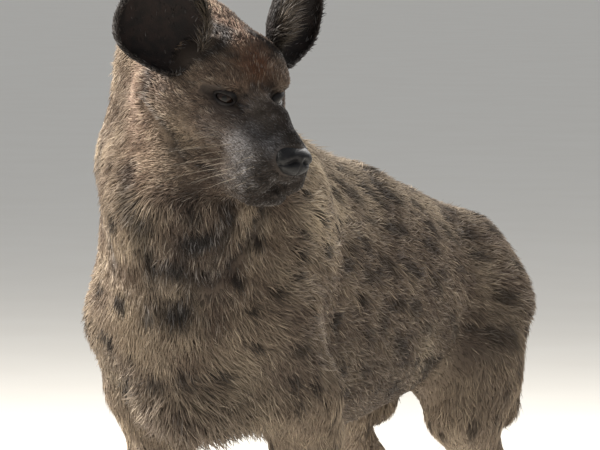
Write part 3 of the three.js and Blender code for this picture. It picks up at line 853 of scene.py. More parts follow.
def makeNose():
    mesh = bmesh.new()
    bmesh.ops.create_uvsphere(mesh, u_segments=120, v_segments=80, radius=1)
    pitch = turned("X", (noseSet["pitch"],))
    radii = np.array(noseSet["radii"])
    local = np.array([vert.co for vert in mesh.verts])
    z = local[:, 2]
    power = noseSet["squareness"]
    square = (np.abs(local) ** power).sum(1) ** (1 / power)
    local = local / (0.55 * square + 0.45 * np.linalg.norm(local, axis=1))[:, None]
    local *= radii
    local[:, 0] *= 1 - 0.22 * ease(-z, 0.0, 1.0) - 0.08 * ease(z, 0.3, 1.0)
    local = local @ pitch.T + at(*noseSet["middle"])
    move = np.zeros(len(local))
    for s in (1, -1):
        stations = np.array([at(*place) for place in mirrored(noseSet["nostril"], s)])
        marks = np.arange(len(stations))
        for spot in np.linspace(0, len(stations) - 1, 30):
            centre = np.array([np.interp(spot, marks, stations[:, axis]) for axis in range(3)])
            width = np.interp(spot, marks, noseSet["nostrilWidth"])
            depth = np.interp(spot, marks, noseSet["nostrilDepth"])
            move = np.maximum(move, depth * bell(np.linalg.norm(local - centre, axis=1), width))
        wing = at(*mirrored([noseSet["wing"]], s)[0])
        move -= noseSet["wingRise"] * bell(np.linalg.norm(local - wing, axis=1), noseSet["wingWidth"])
    inFront = ease(local[:, 2], -38, -50) * (local[:, 1] < -95)
    move += noseSet["furrowDepth"] * bell(local[:, 0], noseSet["furrowWidth"]) * inFront
    local -= unit(local - at(*noseSet["middle"])) * move[:, None]
    local = local @ headTurn.T + headPlace["eyesMidway"]
    for vert, point in zip(mesh.verts, toFrame(local)):
        vert.co = Vector(point)
    return newObject("nosePad", meshFrom(mesh, "nosePad"))


nose = makeNose()

# Claws: blunt and bent down, one on each toe

clawSet = {"length": 19, "radius": 4.6, "drop": 8.5, "start": 17}


def makeClaws():
    mesh = bmesh.new()
    for ankle, scale in paws["ankles"]:
        for _, middle, way in toesOf(ankle, scale):
            made = bmesh.ops.create_uvsphere(mesh, u_segments=14, v_segments=12, radius=1)["verts"]
            across = np.cross(way, (0, 0, 1))
            root = middle + way * clawSet["start"] * scale
            for vert in made:
                t = (1 - vert.co.z) / 2
                flat = math.hypot(vert.co.x, vert.co.y)
                narrow = clawSet["radius"] * scale * (1 - t**1.8) ** 0.8
                narrow *= min(1, flat * 1.6) / max(flat, 1e-6)
                rise = vert.co.y * narrow + 2.2 - clawSet["drop"] * t**2
                place = root + way * t * clawSet["length"] * scale + across * vert.co.x * narrow * 0.75
                vert.co = Vector(toFrame(place + np.array((0, 0, rise))))
    bmesh.ops.recalc_face_normals(mesh, faces=mesh.faces)
    return newObject("claws", meshFrom(mesh, "claws"))


claws = makeClaws()
print("nose and claws made")

# Markings, with painted shade and light among them, the same for the skin and the coat

spotSet = {"count": 330, "apart": 27, "small": 8, "large": 15, "onLegs": 0.6, "seed": 41}


def spread(count, apart, weights, seed):
    # seeded places on the skin that keep apart
    draw = np.random.default_rng(seed)
    picks = draw.choice(len(points), size=count * 30, p=weights / weights.sum())
    kept = []
    for pick in picks:
        if len(kept) == count:
            break
        if kept:
            nearest = np.min(np.linalg.norm(points[kept] - points[pick], axis=1))
        if not kept or nearest > apart * draw.uniform(0.8, 1.5):
            kept.append(pick)
    return kept


skinShares = regionsOf(points)
skinNormals = unit(slopeOf(points))
skinLie = lieOf(points, skinShares)
skinLie = unit(skinLie - (skinLie * skinNormals).sum(1)[:, None] * skinNormals)
share = named(skinShares)
spotty = share["trunk"] + 0.35 * share["mane"] + 0.15 * share["belly"]
spotty = spotty + 0.5 * share["leg"] * ease(points[:, 2], 120, 240)
spotty += 0.35 * share["neck"] * ease(points[:, 2], 800, 640)
spotPlaces = spread(spotSet["count"], spotSet["apart"], spotty, spotSet["seed"])
print(len(spotPlaces), "spots")


def spotsAt(places):
    draw = np.random.default_rng(spotSet["seed"] + 1)
    dark = np.zeros(len(places))
    ragged = 1 + 0.22 * waves(places, 22, 5) + 0.12 * waves(places, 9, 6)
    for pick in spotPlaces:
        middle, lie = points[pick], skinLie[pick]
        flank = ease(-middle[1], 180, 40)
        size = draw.uniform(spotSet["small"], spotSet["large"])
        size *= spotSet["onLegs"] if share["leg"][pick] > 0.5 else 1
        stretch = 1 + flank * draw.uniform(0.3, 1.4)
        strength = draw.uniform(0.75, 1.0) * (1 - 0.2 * flank)
        near = np.nonzero(np.abs(places - middle).max(1) < size * stretch * 1.6)[0]
        away = places[near] - middle
        along = away @ lie
        across = np.sqrt(np.maximum((away**2).sum(1) - along**2, 0))
        reach = np.hypot(along / stretch, across) * ragged[near] / size
        dark[near] = np.maximum(dark[near], strength * ease(reach, 1.25, 0.55))
    return dark


# Dark lines and patches on the head, on both sides of it but where "only" names one
browLine = [(19, -24, 34), (34, -34, 28), (48, -42, 10), (54, -44, -12), (50, -30, -30)]
# a painted shadow cast by the near ear on the forehead, on that side only
nearEarShadowPatch = [(50, -44, 60), (28, -48, 72), (14, -46, 73), (30, -66, 74), (50, -76, 64)]
darkLines = [
    {"line": browLine, "width": 5, "dark": 0.85},
    {"line": [(46, -16, -24), (36, 4, -26), (26, 16, -22)], "width": 4, "dark": 0.75},
    {"line": [(22, 4, 0), (11, 10, 3), (5, 6, 12)], "width": 7, "dark": 0.8},
    {"line": [(24, 6, 12), (34, -4, 16), (48, -16, 12)], "width": 4, "dark": 0.6},
    {"line": [(46, -20, 58), (30, -30, 66), (22, -42, 70)], "width": 13, "dark": 0.97},
    {"line": [(64, -26, 40), (52, -22, 52)], "width": 10, "dark": 0.95},
    # this line follows the crease behind the jowl: painted shade in the crease
    {"line": [(84, -84, -4), (80, -74, -24), (70, -52, -52), (62, -40, -72)], "width": 7, "dark": 0.9},
    {"line": [(48, -29, -90), (54, -44, -80)], "width": 9, "dark": 0.85},
    {"line": [(0, 108, -24), (6, 92, -24), (8, 70, -14)], "width": 14, "dark": 0.95},
    {"line": [(30, 88, -60), (28, 94, -52)], "width": 8, "dark": 0.97},
    {"line": nearEarShadowPatch, "width": 13, "dark": 0.97, "only": -1},
    # round the far eye only: partly dark hair, partly painted shadow on the side of the face turned from the
    # light
    {"line": [(16, 2, 8), (24, 4, 2), (30, 4, -8)], "width": 15, "dark": 0.9, "only": 1},
    {"line": [(40, 62, -84), (36, 20, -88), (46, -10, -88)], "width": 4, "dark": 0.97},
]
# pale silver-grey on the muzzle's sides: partly silver hair, partly a painted sheen of light on the muzzle
silverHairAndSheenSpots = [
    {"middle": (34, 46, -44), "radius": 26, "strength": 0.75},
    {"middle": (22, 84, -36), "radius": 12, "strength": 0.95},
    {"middle": (12, 22, -4), "radius": 12, "strength": 0.5},
    {"middle": (48, 4, -40), "radius": 22, "strength": 0.35},
]
darkShare = {
    "muzzle": 0.62,
    "snout": 0.34,
    "face": 0.1,
    "flecks": 0.5,
    "eyeRim": 0.95,
    "inEar": 0.95,
    "lips": 0.8,
    # neckFold: painted shade in the grooves of the neck folds
    "neckFold": 0.7,
    # throat: painted shade under the jaw and down the throat
    "throat": 0.62,
    "paw": 0.75,
    "leg": 0.55,
    "brush": 0.85,
    # flank and belly: painted shade on the underside of the trunk
    "flank": 0.3,
    "belly": 0.3,
    "neck": 0.22,
}
warmShare = {"forehead": 0.9, "neck": 0.3, "crown": 0.3, "face": 0.15}
# back: painted light on the top of the back
paleShare = {"chest": 0.5, "back": 0.45, "mane": 0.45, "cheek": 0.5, "leg": 0.2, "clouds": 0.3}
throatShadeLine = [(70, 452, 742), (52, 446, 690), (30, 440, 630)]


def silverHairAndSheenAt(place, head):
    side = np.stack([np.abs(place[0]), place[1], place[2]], 1)
    silver = np.zeros(len(side))
    for patch in silverHairAndSheenSpots:
        reach = np.linalg.norm(side - patch["middle"], axis=1)
        silver = np.maximum(silver, patch["strength"] * bell(reach, patch["radius"]) * head)
    return silver


# dark hair and skin, with painted shade in the neck's creases, under the jaw, round the far eye and on the
# underside
def darkAt(places, share, head, noise):
    up = places[:, 2]
    _, headAhead, headUp = headPlaces(places)
    flecks = darkShare["flecks"] * np.clip(waves(places, 7, 31), 0, 1)
    snout = darkShare["snout"] * ease(headAhead, 22, 74)
    lips = bell(headUp + 96 - 0.12 * (headAhead - 40), 12) * ease(headAhead, -36, 0) * head
    dark = (darkShare["muzzle"] + snout) * share["muzzle"] + (darkShare["face"] + flecks) * share["face"]
    for s in (1, -1):
        reach, outside = eyePlaces(places, s)
        dark = np.maximum(dark, darkShare["eyeRim"] * ease(outside, 8.5, 3.5) * (reach < 34))
        local, out = earPlaces(places, s)
        dark = np.maximum(dark, darkShare["inEar"] * ease(out, 1.16, 0.98) * (local[:, 1] < 14))
    dark = np.maximum(dark, darkShare["lips"] * lips * ease(headAhead, -20, 30))

    def darken(near, line, width, amount):
        dark[near] = np.maximum(dark[near], amount * bell(awayFrom(places[near], line), width))

    near = np.nonzero(head > 0.05)[0]
    for mark in darkLines:
        for s in (mark["only"],) if "only" in mark else (1, -1):
            darken(near, lineOn(mirrored(mark["line"], s), onHead), mark["width"], mark["dark"])
    near = np.nonzero((share["neck"] > 0.05) | (head > 0.05))[0]
    # painted shade in the grooves of the neck folds
    for fold in neckFolds:
        if fold["depth"] > 0:
            darken(near, lineOn(fold["line"], at, 8.0), fold["width"] * 1.6, darkShare["neckFold"])
    dark += share["paw"] * darkShare["paw"]
    dark += share["leg"] * darkShare["leg"] * ease(up, 330, 90) * (0.8 + 0.3 * noise)
    dark += share["tail"] * ease(up, 560, 400) * darkShare["brush"]
    # painted shade under the jaw, down the throat
    darken(near, lineOn(throatShadeLine, at), 46, darkShare["throat"] * (0.8 + 0.3 * noise[near]))
    # the lower flank and the belly darker: painted shade on the underside
    dark += darkShare["flank"] * share["trunk"] * ease(up, 620, 500) + darkShare["belly"] * share["belly"]
    return dark + darkShare["neck"] * share["neck"] * (1 + noise)


def marksOf(places, shares):
    # how far each colour goes at a place, from 0 to 1
    share = named(shares)
    left, _, up = places.T
    headLeft, headAhead, headUp = headPlaces(places)
    head = share["muzzle"] + share["face"] + share["crown"]
    noise = waves(places, 60, 9)
    forehead = bell(headLeft, 34) * bell(headUp - 38, 26) * ease(headAhead, -90, -30)
    warm = warmShare["forehead"] * forehead * head
    warm += warmShare["neck"] * share["neck"] * (0.4 + 0.5 * noise)
    warm += warmShare["crown"] * share["crown"] + warmShare["face"] * share["face"]
    # a pale streak down the chest: partly paler chest hair, partly painted light along the ridge where light
    # grazes it
    pale = paleShare["chest"] * bell(left + 34, 46) * share["neck"] * ease(up, 800, 640)
    # the top of the back paler: painted light falling from above; the mane paler too
    pale += paleShare["back"] * ease(up, 640, 720) * share["trunk"] + paleShare["mane"] * share["mane"]
    pale += paleShare["cheek"] * bell(headUp + 62, 26) * bell(headAhead + 44, 32) * share["face"]
    pale += paleShare["leg"] * share["leg"] * ease(up, 200, 420)
    pale += paleShare["clouds"] * waves(places, 130, 12) * (share["trunk"] + share["neck"])
    marks = {
        "spot": spotsAt(places) * (1 - head),
        "dark": darkAt(places, share, head, noise),
        "warm": warm,
        "pale": pale,
        "silver": silverHairAndSheenAt((headLeft, headAhead, headUp), head),
    }
    return {name: np.clip(values, 0, 1) for name, values in marks.items()}


skinMarks = marksOf(points, skinShares)
for name, values in skinMarks.items():
    attribute(skin.data, name, values)
attribute(skin.data, "tone", np.full(len(points), 0.42))
attribute(skin.data, "along", np.full(len(points), 0.1))
print("markings laid")

# The coat: thin bent tufts over the skin, each along the lie of the hair

tuftSet = {"sunk": 0.02, "bend": 0.3, "patch": 0.0015}
tuftFaces = [(0, 1, 4, 3), (1, 2, 5, 4), (2, 0, 3, 5), (3, 4, 6), (4, 5, 6), (5, 3, 6), (0, 2, 1)]
tuftAcross = np.array([-1, 1, 0, -0.66, 0.66, 0, 0])
tuftOver = np.array([0, 0, 0.55, 0, 0, 0.4, 0])
tuftAlong = np.array([0, 0, 0, 0.5, 0.5, 0.5, 1])


def tuftMesh(name, roots, normals, lies, lengths, widths, lifts, marks, chart, seed):
    draw = np.random.default_rng(seed)
    count = len(roots)
    spin = draw.normal(0, 0.13, count)
    spin += 0.26 * waves(roots, 34, seed + 1) + 0.16 * waves(roots, 11, seed + 2)
    across = np.cross(normals, lies)
    lies = unit(lies * np.cos(spin)[:, None] + across * np.sin(spin)[:, None])
    across = np.cross(normals, lies)
    lifts = np.radians(lifts) * draw.uniform(0.55, 1.4, count) * (1 + 0.3 * waves(roots, 20, seed + 3))
    lengths = lengths * draw.uniform(0.7, 1.25, count)
    widths = widths * draw.uniform(0.7, 1.2, count)
    sway = draw.normal(0, 0.12, count) * lengths
    along = tuftAlong[None, :, None]
    each = lambda values: values[:, None, None]
    ahead = along * each(lengths * np.cos(lifts)) * lies[:, None]
    rise = (along - tuftSet["bend"] * along**2) * each(lengths * np.sin(lifts)) * normals[:, None]
    aside = (tuftAcross * 0.5)[None, :, None] * each(widths) * across[:, None]
    aside = aside + along**2 * each(sway) * across[:, None]
    over = tuftOver[None, :, None] * each(widths) * normals[:, None]
    sunk = each(0.1 + tuftSet["sunk"] * lengths) * normals[:, None]
    verts = (roots[:, None] - sunk + ahead + rise + aside + over).reshape(-1, 3)
    verts[:, 2] = np.maximum(verts[:, 2], 0.3)
    mesh = bpy.data.meshes.new(name)
    mesh.vertices.add(len(verts))
    setPoints(mesh, toFrame(verts))
    starts = np.cumsum([0] + [len(face) for face in tuftFaces])
    corners = np.concatenate([np.array(face) for face in tuftFaces])
    loops = (np.arange(count)[:, None] * len(tuftAlong) + corners).ravel()
    mesh.loops.add(len(loops))
    mesh.loops.foreach_set("vertex_index", loops.astype(np.int32))
    mesh.polygons.add(count * len(tuftFaces))
    firsts = (np.arange(count)[:, None] * starts[-1] + starts[:-1]).ravel()
    mesh.polygons.foreach_set("loop_start", firsts.astype(np.int32))
    mesh.update(calc_edges=True)
    flat = np.stack([tuftAcross, 2 * tuftAlong - 1], 1)[None] * tuftSet["patch"]
    places = (chart[:, None] + flat).reshape(-1, 2)
    mesh.uv_layers.new(name="OFBake").data.foreach_set("uv", places[loops].astype(np.float32).ravel())
    for key, values in marks.items():
        attribute(mesh, key, np.repeat(values, len(tuftAlong)))
    tone = np.clip(0.5 + draw.normal(0, 0.2, count) + 0.2 * waves(roots, 16, seed + 4), 0, 1)
    attribute(mesh, "tone", np.repeat(tone, len(tuftAlong)))
    attribute(mesh, "along", np.tile(tuftAlong, count))
    mesh.shade_smooth()
    return newObject(name, mesh)


def trianglesOf(mesh):
    mesh.calc_loop_triangles()
    corners = np.empty(len(mesh.loop_triangles) * 3, np.int32)
    mesh.loop_triangles.foreach_get("vertices", corners)
    return corners.reshape(-1, 3)


def rootsOn(places, triangles, density, count, seed):
    # seeded roots spread over triangles: the corners of each and its shares of them
    draw = np.random.default_rng(seed)
    a, b, c = (places[triangles[:, i]] for i in range(3))
    area = np.linalg.norm(np.cross(b - a, c - a), axis=1) / 2
    total = np.cumsum(area * density[triangles].mean(1))
    order = np.searchsorted(total, (np.arange(count) + draw.random(count)) / count * total[-1])
    order = np.minimum(order, len(triangles) - 1)
    r, t = np.sqrt(draw.random(count)), draw.random(count)
    shares = np.stack([1 - r, r * (1 - t), r * t], 1)
    return triangles[order], shares


def around(left, ahead):
    return np.arctan2(left, ahead) / (2 * np.pi) + 0.5


def inSquare(u, v, low, high):
    # a chart with a margin, from an angle's share and a place between two ends
    v = np.clip((v - low) / (high - low), 0, 1)
    return np.stack([0.02 + 0.96 * u, 0.02 + 0.96 * v], 1)


def trunkChart(low, high):
    return lambda p: inSquare(around(p[:, 0], p[:, 2] - 560), -p[:, 1], low, high)


def legChart(middleAhead, low, high):
    def chart(p):
        s = np.sign(p[:, 0])
        u = around(p[:, 0] - s * 92, -p[:, 1] - middleAhead)
        return inSquare(0.5 * np.clip(u, 0.01, 0.99) + 0.25 + 0.25 * s, p[:, 2], low, high)

    return chart


def footChart(p):
    # four paws and the tail side by side
    s, ahead = np.sign(p[:, 0]), -p[:, 1]
    fore = (ahead > 0).astype(float)
    tail = p[:, 2] > 250
    strip = np.where(tail, 4, fore * 2 + (s > 0))
    middle = np.where(fore > 0, 290, -375)
    u = np.where(tail, around(p[:, 0], ahead + 505), around(p[:, 0] - s * 88, ahead - middle))
    v = np.where(tail, (p[:, 2] - 300) / 400, p[:, 2] / 100)
    return inSquare((strip + 0.02 + 0.96 * u) / 5, v, 0, 1)


def headChart(p):
    left, ahead, up = headPlaces(p)
    return inSquare(around(left, up + 40), ahead, -150, 120)


def neckChart(p):
    return inSquare(around(p[:, 0], -p[:, 1] - 330), p[:, 2], 480, 1000)


ahead = -points[:, 1]
bodyShare = share["trunk"] + share["belly"] + share["mane"]
flank = (ahead <= 130) * (ahead > -170)
fur = {
    "furChest": {"where": bodyShare * (ahead > 130), "count": 18500, "chart": trunkChart(100, 480)},
    "furFlank": {"where": bodyShare * flank, "count": 18500, "chart": trunkChart(-200, 160)},
    "furRump": {"where": bodyShare * (ahead <= -170), "count": 18500, "chart": trunkChart(-480, -140)},
    "furNeck": {"where": share["neck"], "count": 19000, "chart": neckChart},
    "furForelegs": {"where": share["leg"] * (ahead > 0), "count": 12500, "chart": legChart(262, 30, 520)},
    "furHindlegs": {"where": share["leg"] * (ahead < 0), "count": 12500, "chart": legChart(-340, 30, 520)},
    "furPaws": {"where": share["paw"] + share["tail"], "count": 11500, "chart": footChart},
    "furFace": {"where": share["face"] + share["muzzle"], "count": 19500, "chart": headChart},
    "furCrown": {"where": share["crown"], "count": 10500, "chart": headChart},
}


def bareness(places):
    # 0 where no hair grows: eyes, lips' edge, nose and inside the ears
    grown = np.ones(len(places))
    for s in (1, -1):
        reach, outside = eyePlaces(places, s)
        grown *= np.where(reach < 34, ease(outside, 4.0, 7.5), 1)
        local, out = earPlaces(places, s)
        grown *= 1 - ease(out, 1.12, 1.0) * (local[:, 1] < 10)
    padAway = (places - onHead(*noseSet["middle"])) @ headTurn / np.array(noseSet["radii"])
    grown *= ease(np.linalg.norm(padAway, axis=1), 1.02, 1.16)
    near = np.linalg.norm(places - onHead(0, 40, -80), axis=1) < 130
    lines = [lineOn(mirrored(mouthLine, s), onHead) for s in (1, -1)]
    grown[near] *= ease(np.min([awayFrom(places[near], line) for line in lines], axis=0), 1.6, 3.0)
    return grown * (places[:, 2] > 3)


hangSet = {"longer": 22, "steeper": 34}


def hangAt(places, shares):
    # the long hair under the breast hangs between the forelegs
    return (1 - named(shares)["leg"]) * ease(-places[:, 1], 200, 280) * ease(places[:, 2], 520, 455)


def lengthAt(places, shares):
    share = named(shares)
    up = places[:, 2]
    length = mixed(shares, "length") * (1 + 0.14 * waves(places, 90, 21))
    length += share["tail"] * 58 * ease(up, 480, 400)
    length += share["neck"] * 10 * ease(up, 640, 560) + hangSet["longer"] * hangAt(places, shares)
    length += share["leg"] * 8 * ease(up, 330, 430)
    return length


grownAt = bareness(points)
triangles = trianglesOf(skin.data)
coat = {}
for number, (name, plan) in enumerate(fur.items()):
    density = plan["where"] * grownAt / mixed(skinShares, "gap") ** 2
    corners, shares = rootsOn(points, triangles, density, plan["count"], 100 + number)
    blend = lambda values: (values[corners] * shares[:, :, None]).sum(1)
    roots, normals, lies = blend(points), unit(blend(skinNormals)), blend(skinLie)
    lies = unit(lies - (lies * normals).sum(1)[:, None] * normals)
    regions = blend(skinShares)
    coat[name] = tuftMesh(
        name,
        roots,
        normals,
        lies,
        lengthAt(roots, regions),
        mixed(regions, "width"),
        mixed(regions, "lift") + hangSet["steeper"] * hangAt(roots, regions),
        marksOf(roots, regions),
        plan["chart"](roots),
        200 + number,
    )
print("coat laid:", sum(plan["count"] for plan in fur.values()), "tufts")

# Fur on the ears: short on the back and the rim, longer along the inner edge

earFur = {"count": 3600, "back": 6.5, "rim": 8.0, "inner": 24, "width": 1.3, "dark": 0.97}


def rimAt(local):
    return ease(local[:, 1], 2, -6)


def innerEdgeAt(local, s):
    return ease(-s * local[:, 0], 32, 50) * ease(local[:, 1], 6, -4)


def furEar(name, s):
    mesh = ear[s].data
    places = toPart(pointsOf(mesh))
    local, out = earPlaces(places, s)
    density = 0.06 + ease(out, 0.9, 0.97) + 0.9 * rimAt(local) + 1.2 * innerEdgeAt(local, s)
    corners, shares = rootsOn(places, trianglesOf(mesh), density, earFur["count"], 300 + s)
    blend = lambda values: (values[corners] * shares[:, :, None]).sum(1)
    roots, ways, spot = blend(places), unit(blend(normalsOf(mesh))), blend(local)
    rim, inner = rimAt(spot), innerEdgeAt(spot, s)
    upward = unit(np.stack([spot[:, 0] + s * 14, -14 - 0 * spot[:, 0], spot[:, 2] + 70], 1))
    upward = upward + inner[:, None] * np.array((s * 0.9, -0.9, 0.2))
    lies = upward @ earPlace[s]["turn"].T
    lies = unit(lies - (lies * ways).sum(1)[:, None] * ways)
    length = earFur["back"] + (earFur["rim"] - earFur["back"]) * rim + earFur["inner"] * inner
    count = len(roots)
    marks = {
        "spot": np.zeros(count),
        "dark": earFur["dark"] - 0.15 * inner,
        "warm": 0.35 * inner,
        "pale": inner,
        "silver": np.zeros(count),
    }
    u = around(spot[:, 0], spot[:, 2]) * 0.5 + 0.25 + 0.25 * s
    chart = inSquare(u, spot[:, 1], -14, 34)
    widths = np.full(count, earFur["width"])
    return tuftMesh(name, roots, ways, lies, length, widths, 13 + 12 * inner, marks, chart, 310 + s)


earCoat = {s: furEar(name, s) for name, s in (("furEarLeft", 1), ("furEarRight", -1))}

# Whiskers on the lips and chin

whiskerSet = {"rows": 4, "each": 5, "length": 52, "radius": 0.34, "steps": 5, "droop": 0.16, "sweep": 0.12}


def makeWhiskers():
    draw = np.random.default_rng(77)
    mesh = bmesh.new()
    steps = whiskerSet["steps"]
    for s in (1, -1):
        for row, place in np.ndindex(whiskerSet["rows"], whiskerSet["each"]):
            start, inside = onHead(s * 30, 66 - 11 * place + 3 * row, -58 - 7 * row), onHead(s * 8, 50, -70)
            root = outTo(inside, unit(start - inside))
            way = headWay(s * (0.9 + 0.1 * place), -0.15 - 0.2 * place, -0.25 - 0.1 * row)
            length = whiskerSet["length"] * draw.uniform(0.5, 1.15) * (0.5 + 0.15 * place)
            bent = whiskerSet["sweep"] * headWay(0, -1, 0) - whiskerSet["droop"] * np.array((0, 0, 1))
            over = unit(np.cross(way, (0, 0, 1)))
            rings = []
            for t in np.arange(steps + 1) / steps:
                middle = root + way * length * (t - 0.02) + bent * length * t * t
                radius = whiskerSet["radius"] * (1 - 0.8 * t)
                ring = []
                for angle in np.arange(4) * math.pi / 2:
                    off = math.cos(angle) * over + math.sin(angle) * np.cross(way, over)
                    ring.append(mesh.verts.new(toFrame(middle + radius * off)))
                rings.append([mesh.edges.new((ring[i], ring[(i + 1) % 4])) for i in range(4)])
            for low, high in zip(rings, rings[1:]):
                bmesh.ops.bridge_loops(mesh, edges=low + high)
            for end in (rings[0], rings[-1]):
                bmesh.ops.contextual_create(mesh, geom=end)
    bmesh.ops.recalc_face_normals(mesh, faces=mesh.faces)
    return newObject("whiskers", meshFrom(mesh, "whiskers", smooth=False))


whiskers = makeWhiskers()
print("ears furred, whiskers set")

# Materials


class Value:
    # a node's output, on which sums are written as in Python

    def __init__(self, finish, socket):
        self.finish = finish
        self.socket = socket

    def sum(self, operation, first, second):
        return self.finish.node("ShaderNodeMath", {"operation": operation}, {0: first, 1: second})

    def __add__(self, other):
        return self.sum("ADD", self, other)

    def __radd__(self, other):
        return self.sum("ADD", other, self)

    def __sub__(self, other):
        return self.sum("SUBTRACT", self, other)

    def __rsub__(self, other):
        return self.sum("SUBTRACT", other, self)

    def __mul__(self, other):
        return self.sum("MULTIPLY", self, other)

    def __rmul__(self, other):
        return self.sum("MULTIPLY", other, self)


class Finish:
    # one material and its nodes

    def __init__(self, name, fixed):
        self.material = bpy.data.materials.new(name)
        self.material.use_nodes = True
        self.nodes = self.material.node_tree.nodes
        self.links = self.material.node_tree.links
        self.shader = self.nodes["Principled BSDF"]
        for socket, value in fixed.items():
            self.shader.inputs[socket].default_value = value

    def node(self, kind, settings, sockets, output=0):
        item = self.nodes.new(kind)
        for key, value in settings.items():
            setattr(item, key, value)
        for key, value in sockets.items():
            if isinstance(value, Value):
                self.links.new(value.socket, item.inputs[key])
            else:
                item.inputs[key].default_value = value
        return Value(self, item.outputs[output])

    def read(self, name):
        return self.node("ShaderNodeAttribute", {"attribute_name": name}, {}, "Fac")

    def place(self):
        return self.node("ShaderNodeTexCoord", {}, {}, "Object")

    def noise(self, scale, detail=3.0, roughness=0.5):
        sockets = {"Vector": self.place(), "Scale": scale, "Detail": detail, "Roughness": roughness}
        return self.node("ShaderNodeTexNoise", {}, sockets, 0)

    def eased(self, value, low, high):
        sockets = {"Value": value, "From Min": low, "From Max": high}
        return self.node("ShaderNodeMapRange", {"interpolation_type": "SMOOTHSTEP"}, sockets)

    def mix(self, share, first, second):
        return self.node("ShaderNodeMix", {"data_type": "RGBA"}, {0: share, 6: first, 7: second}, 2)

    def bump(self, height, strength, distance):
        return self.node("ShaderNodeBump", {}, {"Height": height, "Strength": strength, "Distance": distance})

    def feed(self, **sockets):
        for key, value in sockets.items():
            self.links.new(value.socket, self.shader.inputs[key.replace("_", " ")])
        return self.material


def tint(red, green, blue):
    # a colour as the eye sees it, from 0 to 255, in the light's own measure
    linear = [((c / 255 + 0.055) / 1.055) ** 2.4 if c > 10 else c / 255 / 12.92 for c in (red, green, blue)]
    return (*linear, 1)


coatColours = {
    "base": tint(116, 101, 88),
    "cream": tint(212, 194, 168),
    "spot": tint(34, 27, 23),
    "rust": tint(112, 66, 40),
    "dark": tint(20, 18, 18),
    # silver: grey tips of dark hair, and the colour of the painted sheen on the muzzle
    "silver": tint(150, 148, 150),
    "rootShade": tint(54, 44, 37),
}


def coatFinish(name, bumped):
    fixed = {"Roughness": 0.72, "Specular IOR Level": 0.25, "Sheen Weight": 0.03, "Sheen Roughness": 0.5}
    finish = Finish(name, fixed)
    tone, along = finish.read("tone"), finish.read("along")
    patchy = finish.noise(14.0)
    streaky = finish.noise(160.0, 2.0)
    pale = finish.read("pale") * 0.8 + finish.eased(patchy, 0.42, 0.7) * 0.25
    base = finish.mix(pale, coatColours["base"], coatColours["cream"])
    base = finish.mix(finish.read("warm") * 0.85, base, coatColours["rust"])
    base = finish.mix(finish.eased(tone, 0.62, 1.0) * 0.5, base, coatColours["cream"])
    base = finish.mix(finish.eased(tone, 0.4, 0.0) * 0.55, base, coatColours["rootShade"])
    base = finish.mix(finish.read("spot") * (0.88 + 0.12 * streaky), base, coatColours["spot"])
    deep = finish.mix(finish.eased(tone, 0.56, 0.95) * 0.5, coatColours["dark"], coatColours["silver"])
    base = finish.mix(finish.read("dark") * 0.96, base, deep)
    # silver hair on the muzzle, with a painted sheen of light mixed into it
    base = finish.mix(finish.read("silver") * finish.eased(tone, 0.15, 0.6), base, coatColours["silver"])
    base = finish.mix(finish.eased(along, 0.45, 0.0) * 0.5, base, coatColours["rootShade"])
    if not bumped:
        return finish.feed(Base_Color=base)
    grain = streaky + 0.5 * finish.noise(420.0)
    return finish.feed(Base_Color=base, Normal=finish.bump(grain, 0.5, 0.0012))


def eyeFinish():
    fixed = {"Roughness": 0.08, "Coat Weight": 0.12, "Coat Roughness": 0.02, "Specular IOR Level": 0.2}
    finish = Finish("eyeWet", fixed)
    away = finish.read("fromPupil")
    rays = finish.noise(900.0)
    iris = finish.mix(rays, tint(38, 22, 13), tint(16, 10, 7))
    ball = finish.mix(finish.eased(away, 8.2, 9.6), iris, tint(18, 14, 12))
    return finish.feed(Base_Color=finish.mix(finish.eased(away, 3.6, 3.0), ball, (0.002, 0.002, 0.002, 1)))


def bareFinish(name, light, deep, roughness, grain, strength):
    finish = Finish(name, {"Specular IOR Level": 0.26})
    sockets = {"Vector": finish.place(), "Scale": grain, "Randomness": 0.9}
    pebbles = finish.node("ShaderNodeTexVoronoi", {}, sockets, "Distance")
    worn = finish.noise(grain * 0.2)
    colour = finish.mix(finish.eased(worn, 0.35, 0.65), deep, light)
    rough = roughness + 0.22 * worn
    return finish.feed(Base_Color=colour, Roughness=rough, Normal=finish.bump(1 - pebbles, strength, 0.0007))


skinCoat = coatFinish("coatSkin", True)
tuftCoat = coatFinish("coatHair", False)
nosePaint = bareFinish("noseLeather", tint(22, 21, 23), tint(12, 12, 13), 0.3, 620.0, 0.5)
lidPaint = bareFinish("lidSkin", tint(34, 29, 28), tint(17, 14, 13), 0.38, 800.0, 0.35)
clawPaint = bareFinish("clawHorn", tint(64, 54, 46), tint(30, 25, 22), 0.32, 240.0, 0.15)
earPaint = bareFinish("earSkin", tint(40, 31, 28), tint(22, 17, 16), 0.6, 420.0, 0.3)
hairPaint = bareFinish("whiskerHair", tint(150, 140, 126), tint(90, 82, 72), 0.4, 200.0, 0.05)


def paint(item, material):
    item.data.materials.clear()
    item.data.materials.append(material)


paint(skin, skinCoat)
for item in (*coat.values(), *earCoat.values()):
    paint(item, tuftCoat)
for s in (1, -1):
    paint(ear[s], earPaint)
    paint(eye[s], eyeFinish())
paint(lids, lidPaint)
paint(nose, nosePaint)
paint(claws, clawPaint)
paint(whiskers, hairPaint)
print("materials made")

# What each piece rides on: the frame's own flesh, nose, ears and eyes are hidden, and every new piece rides
# on the root

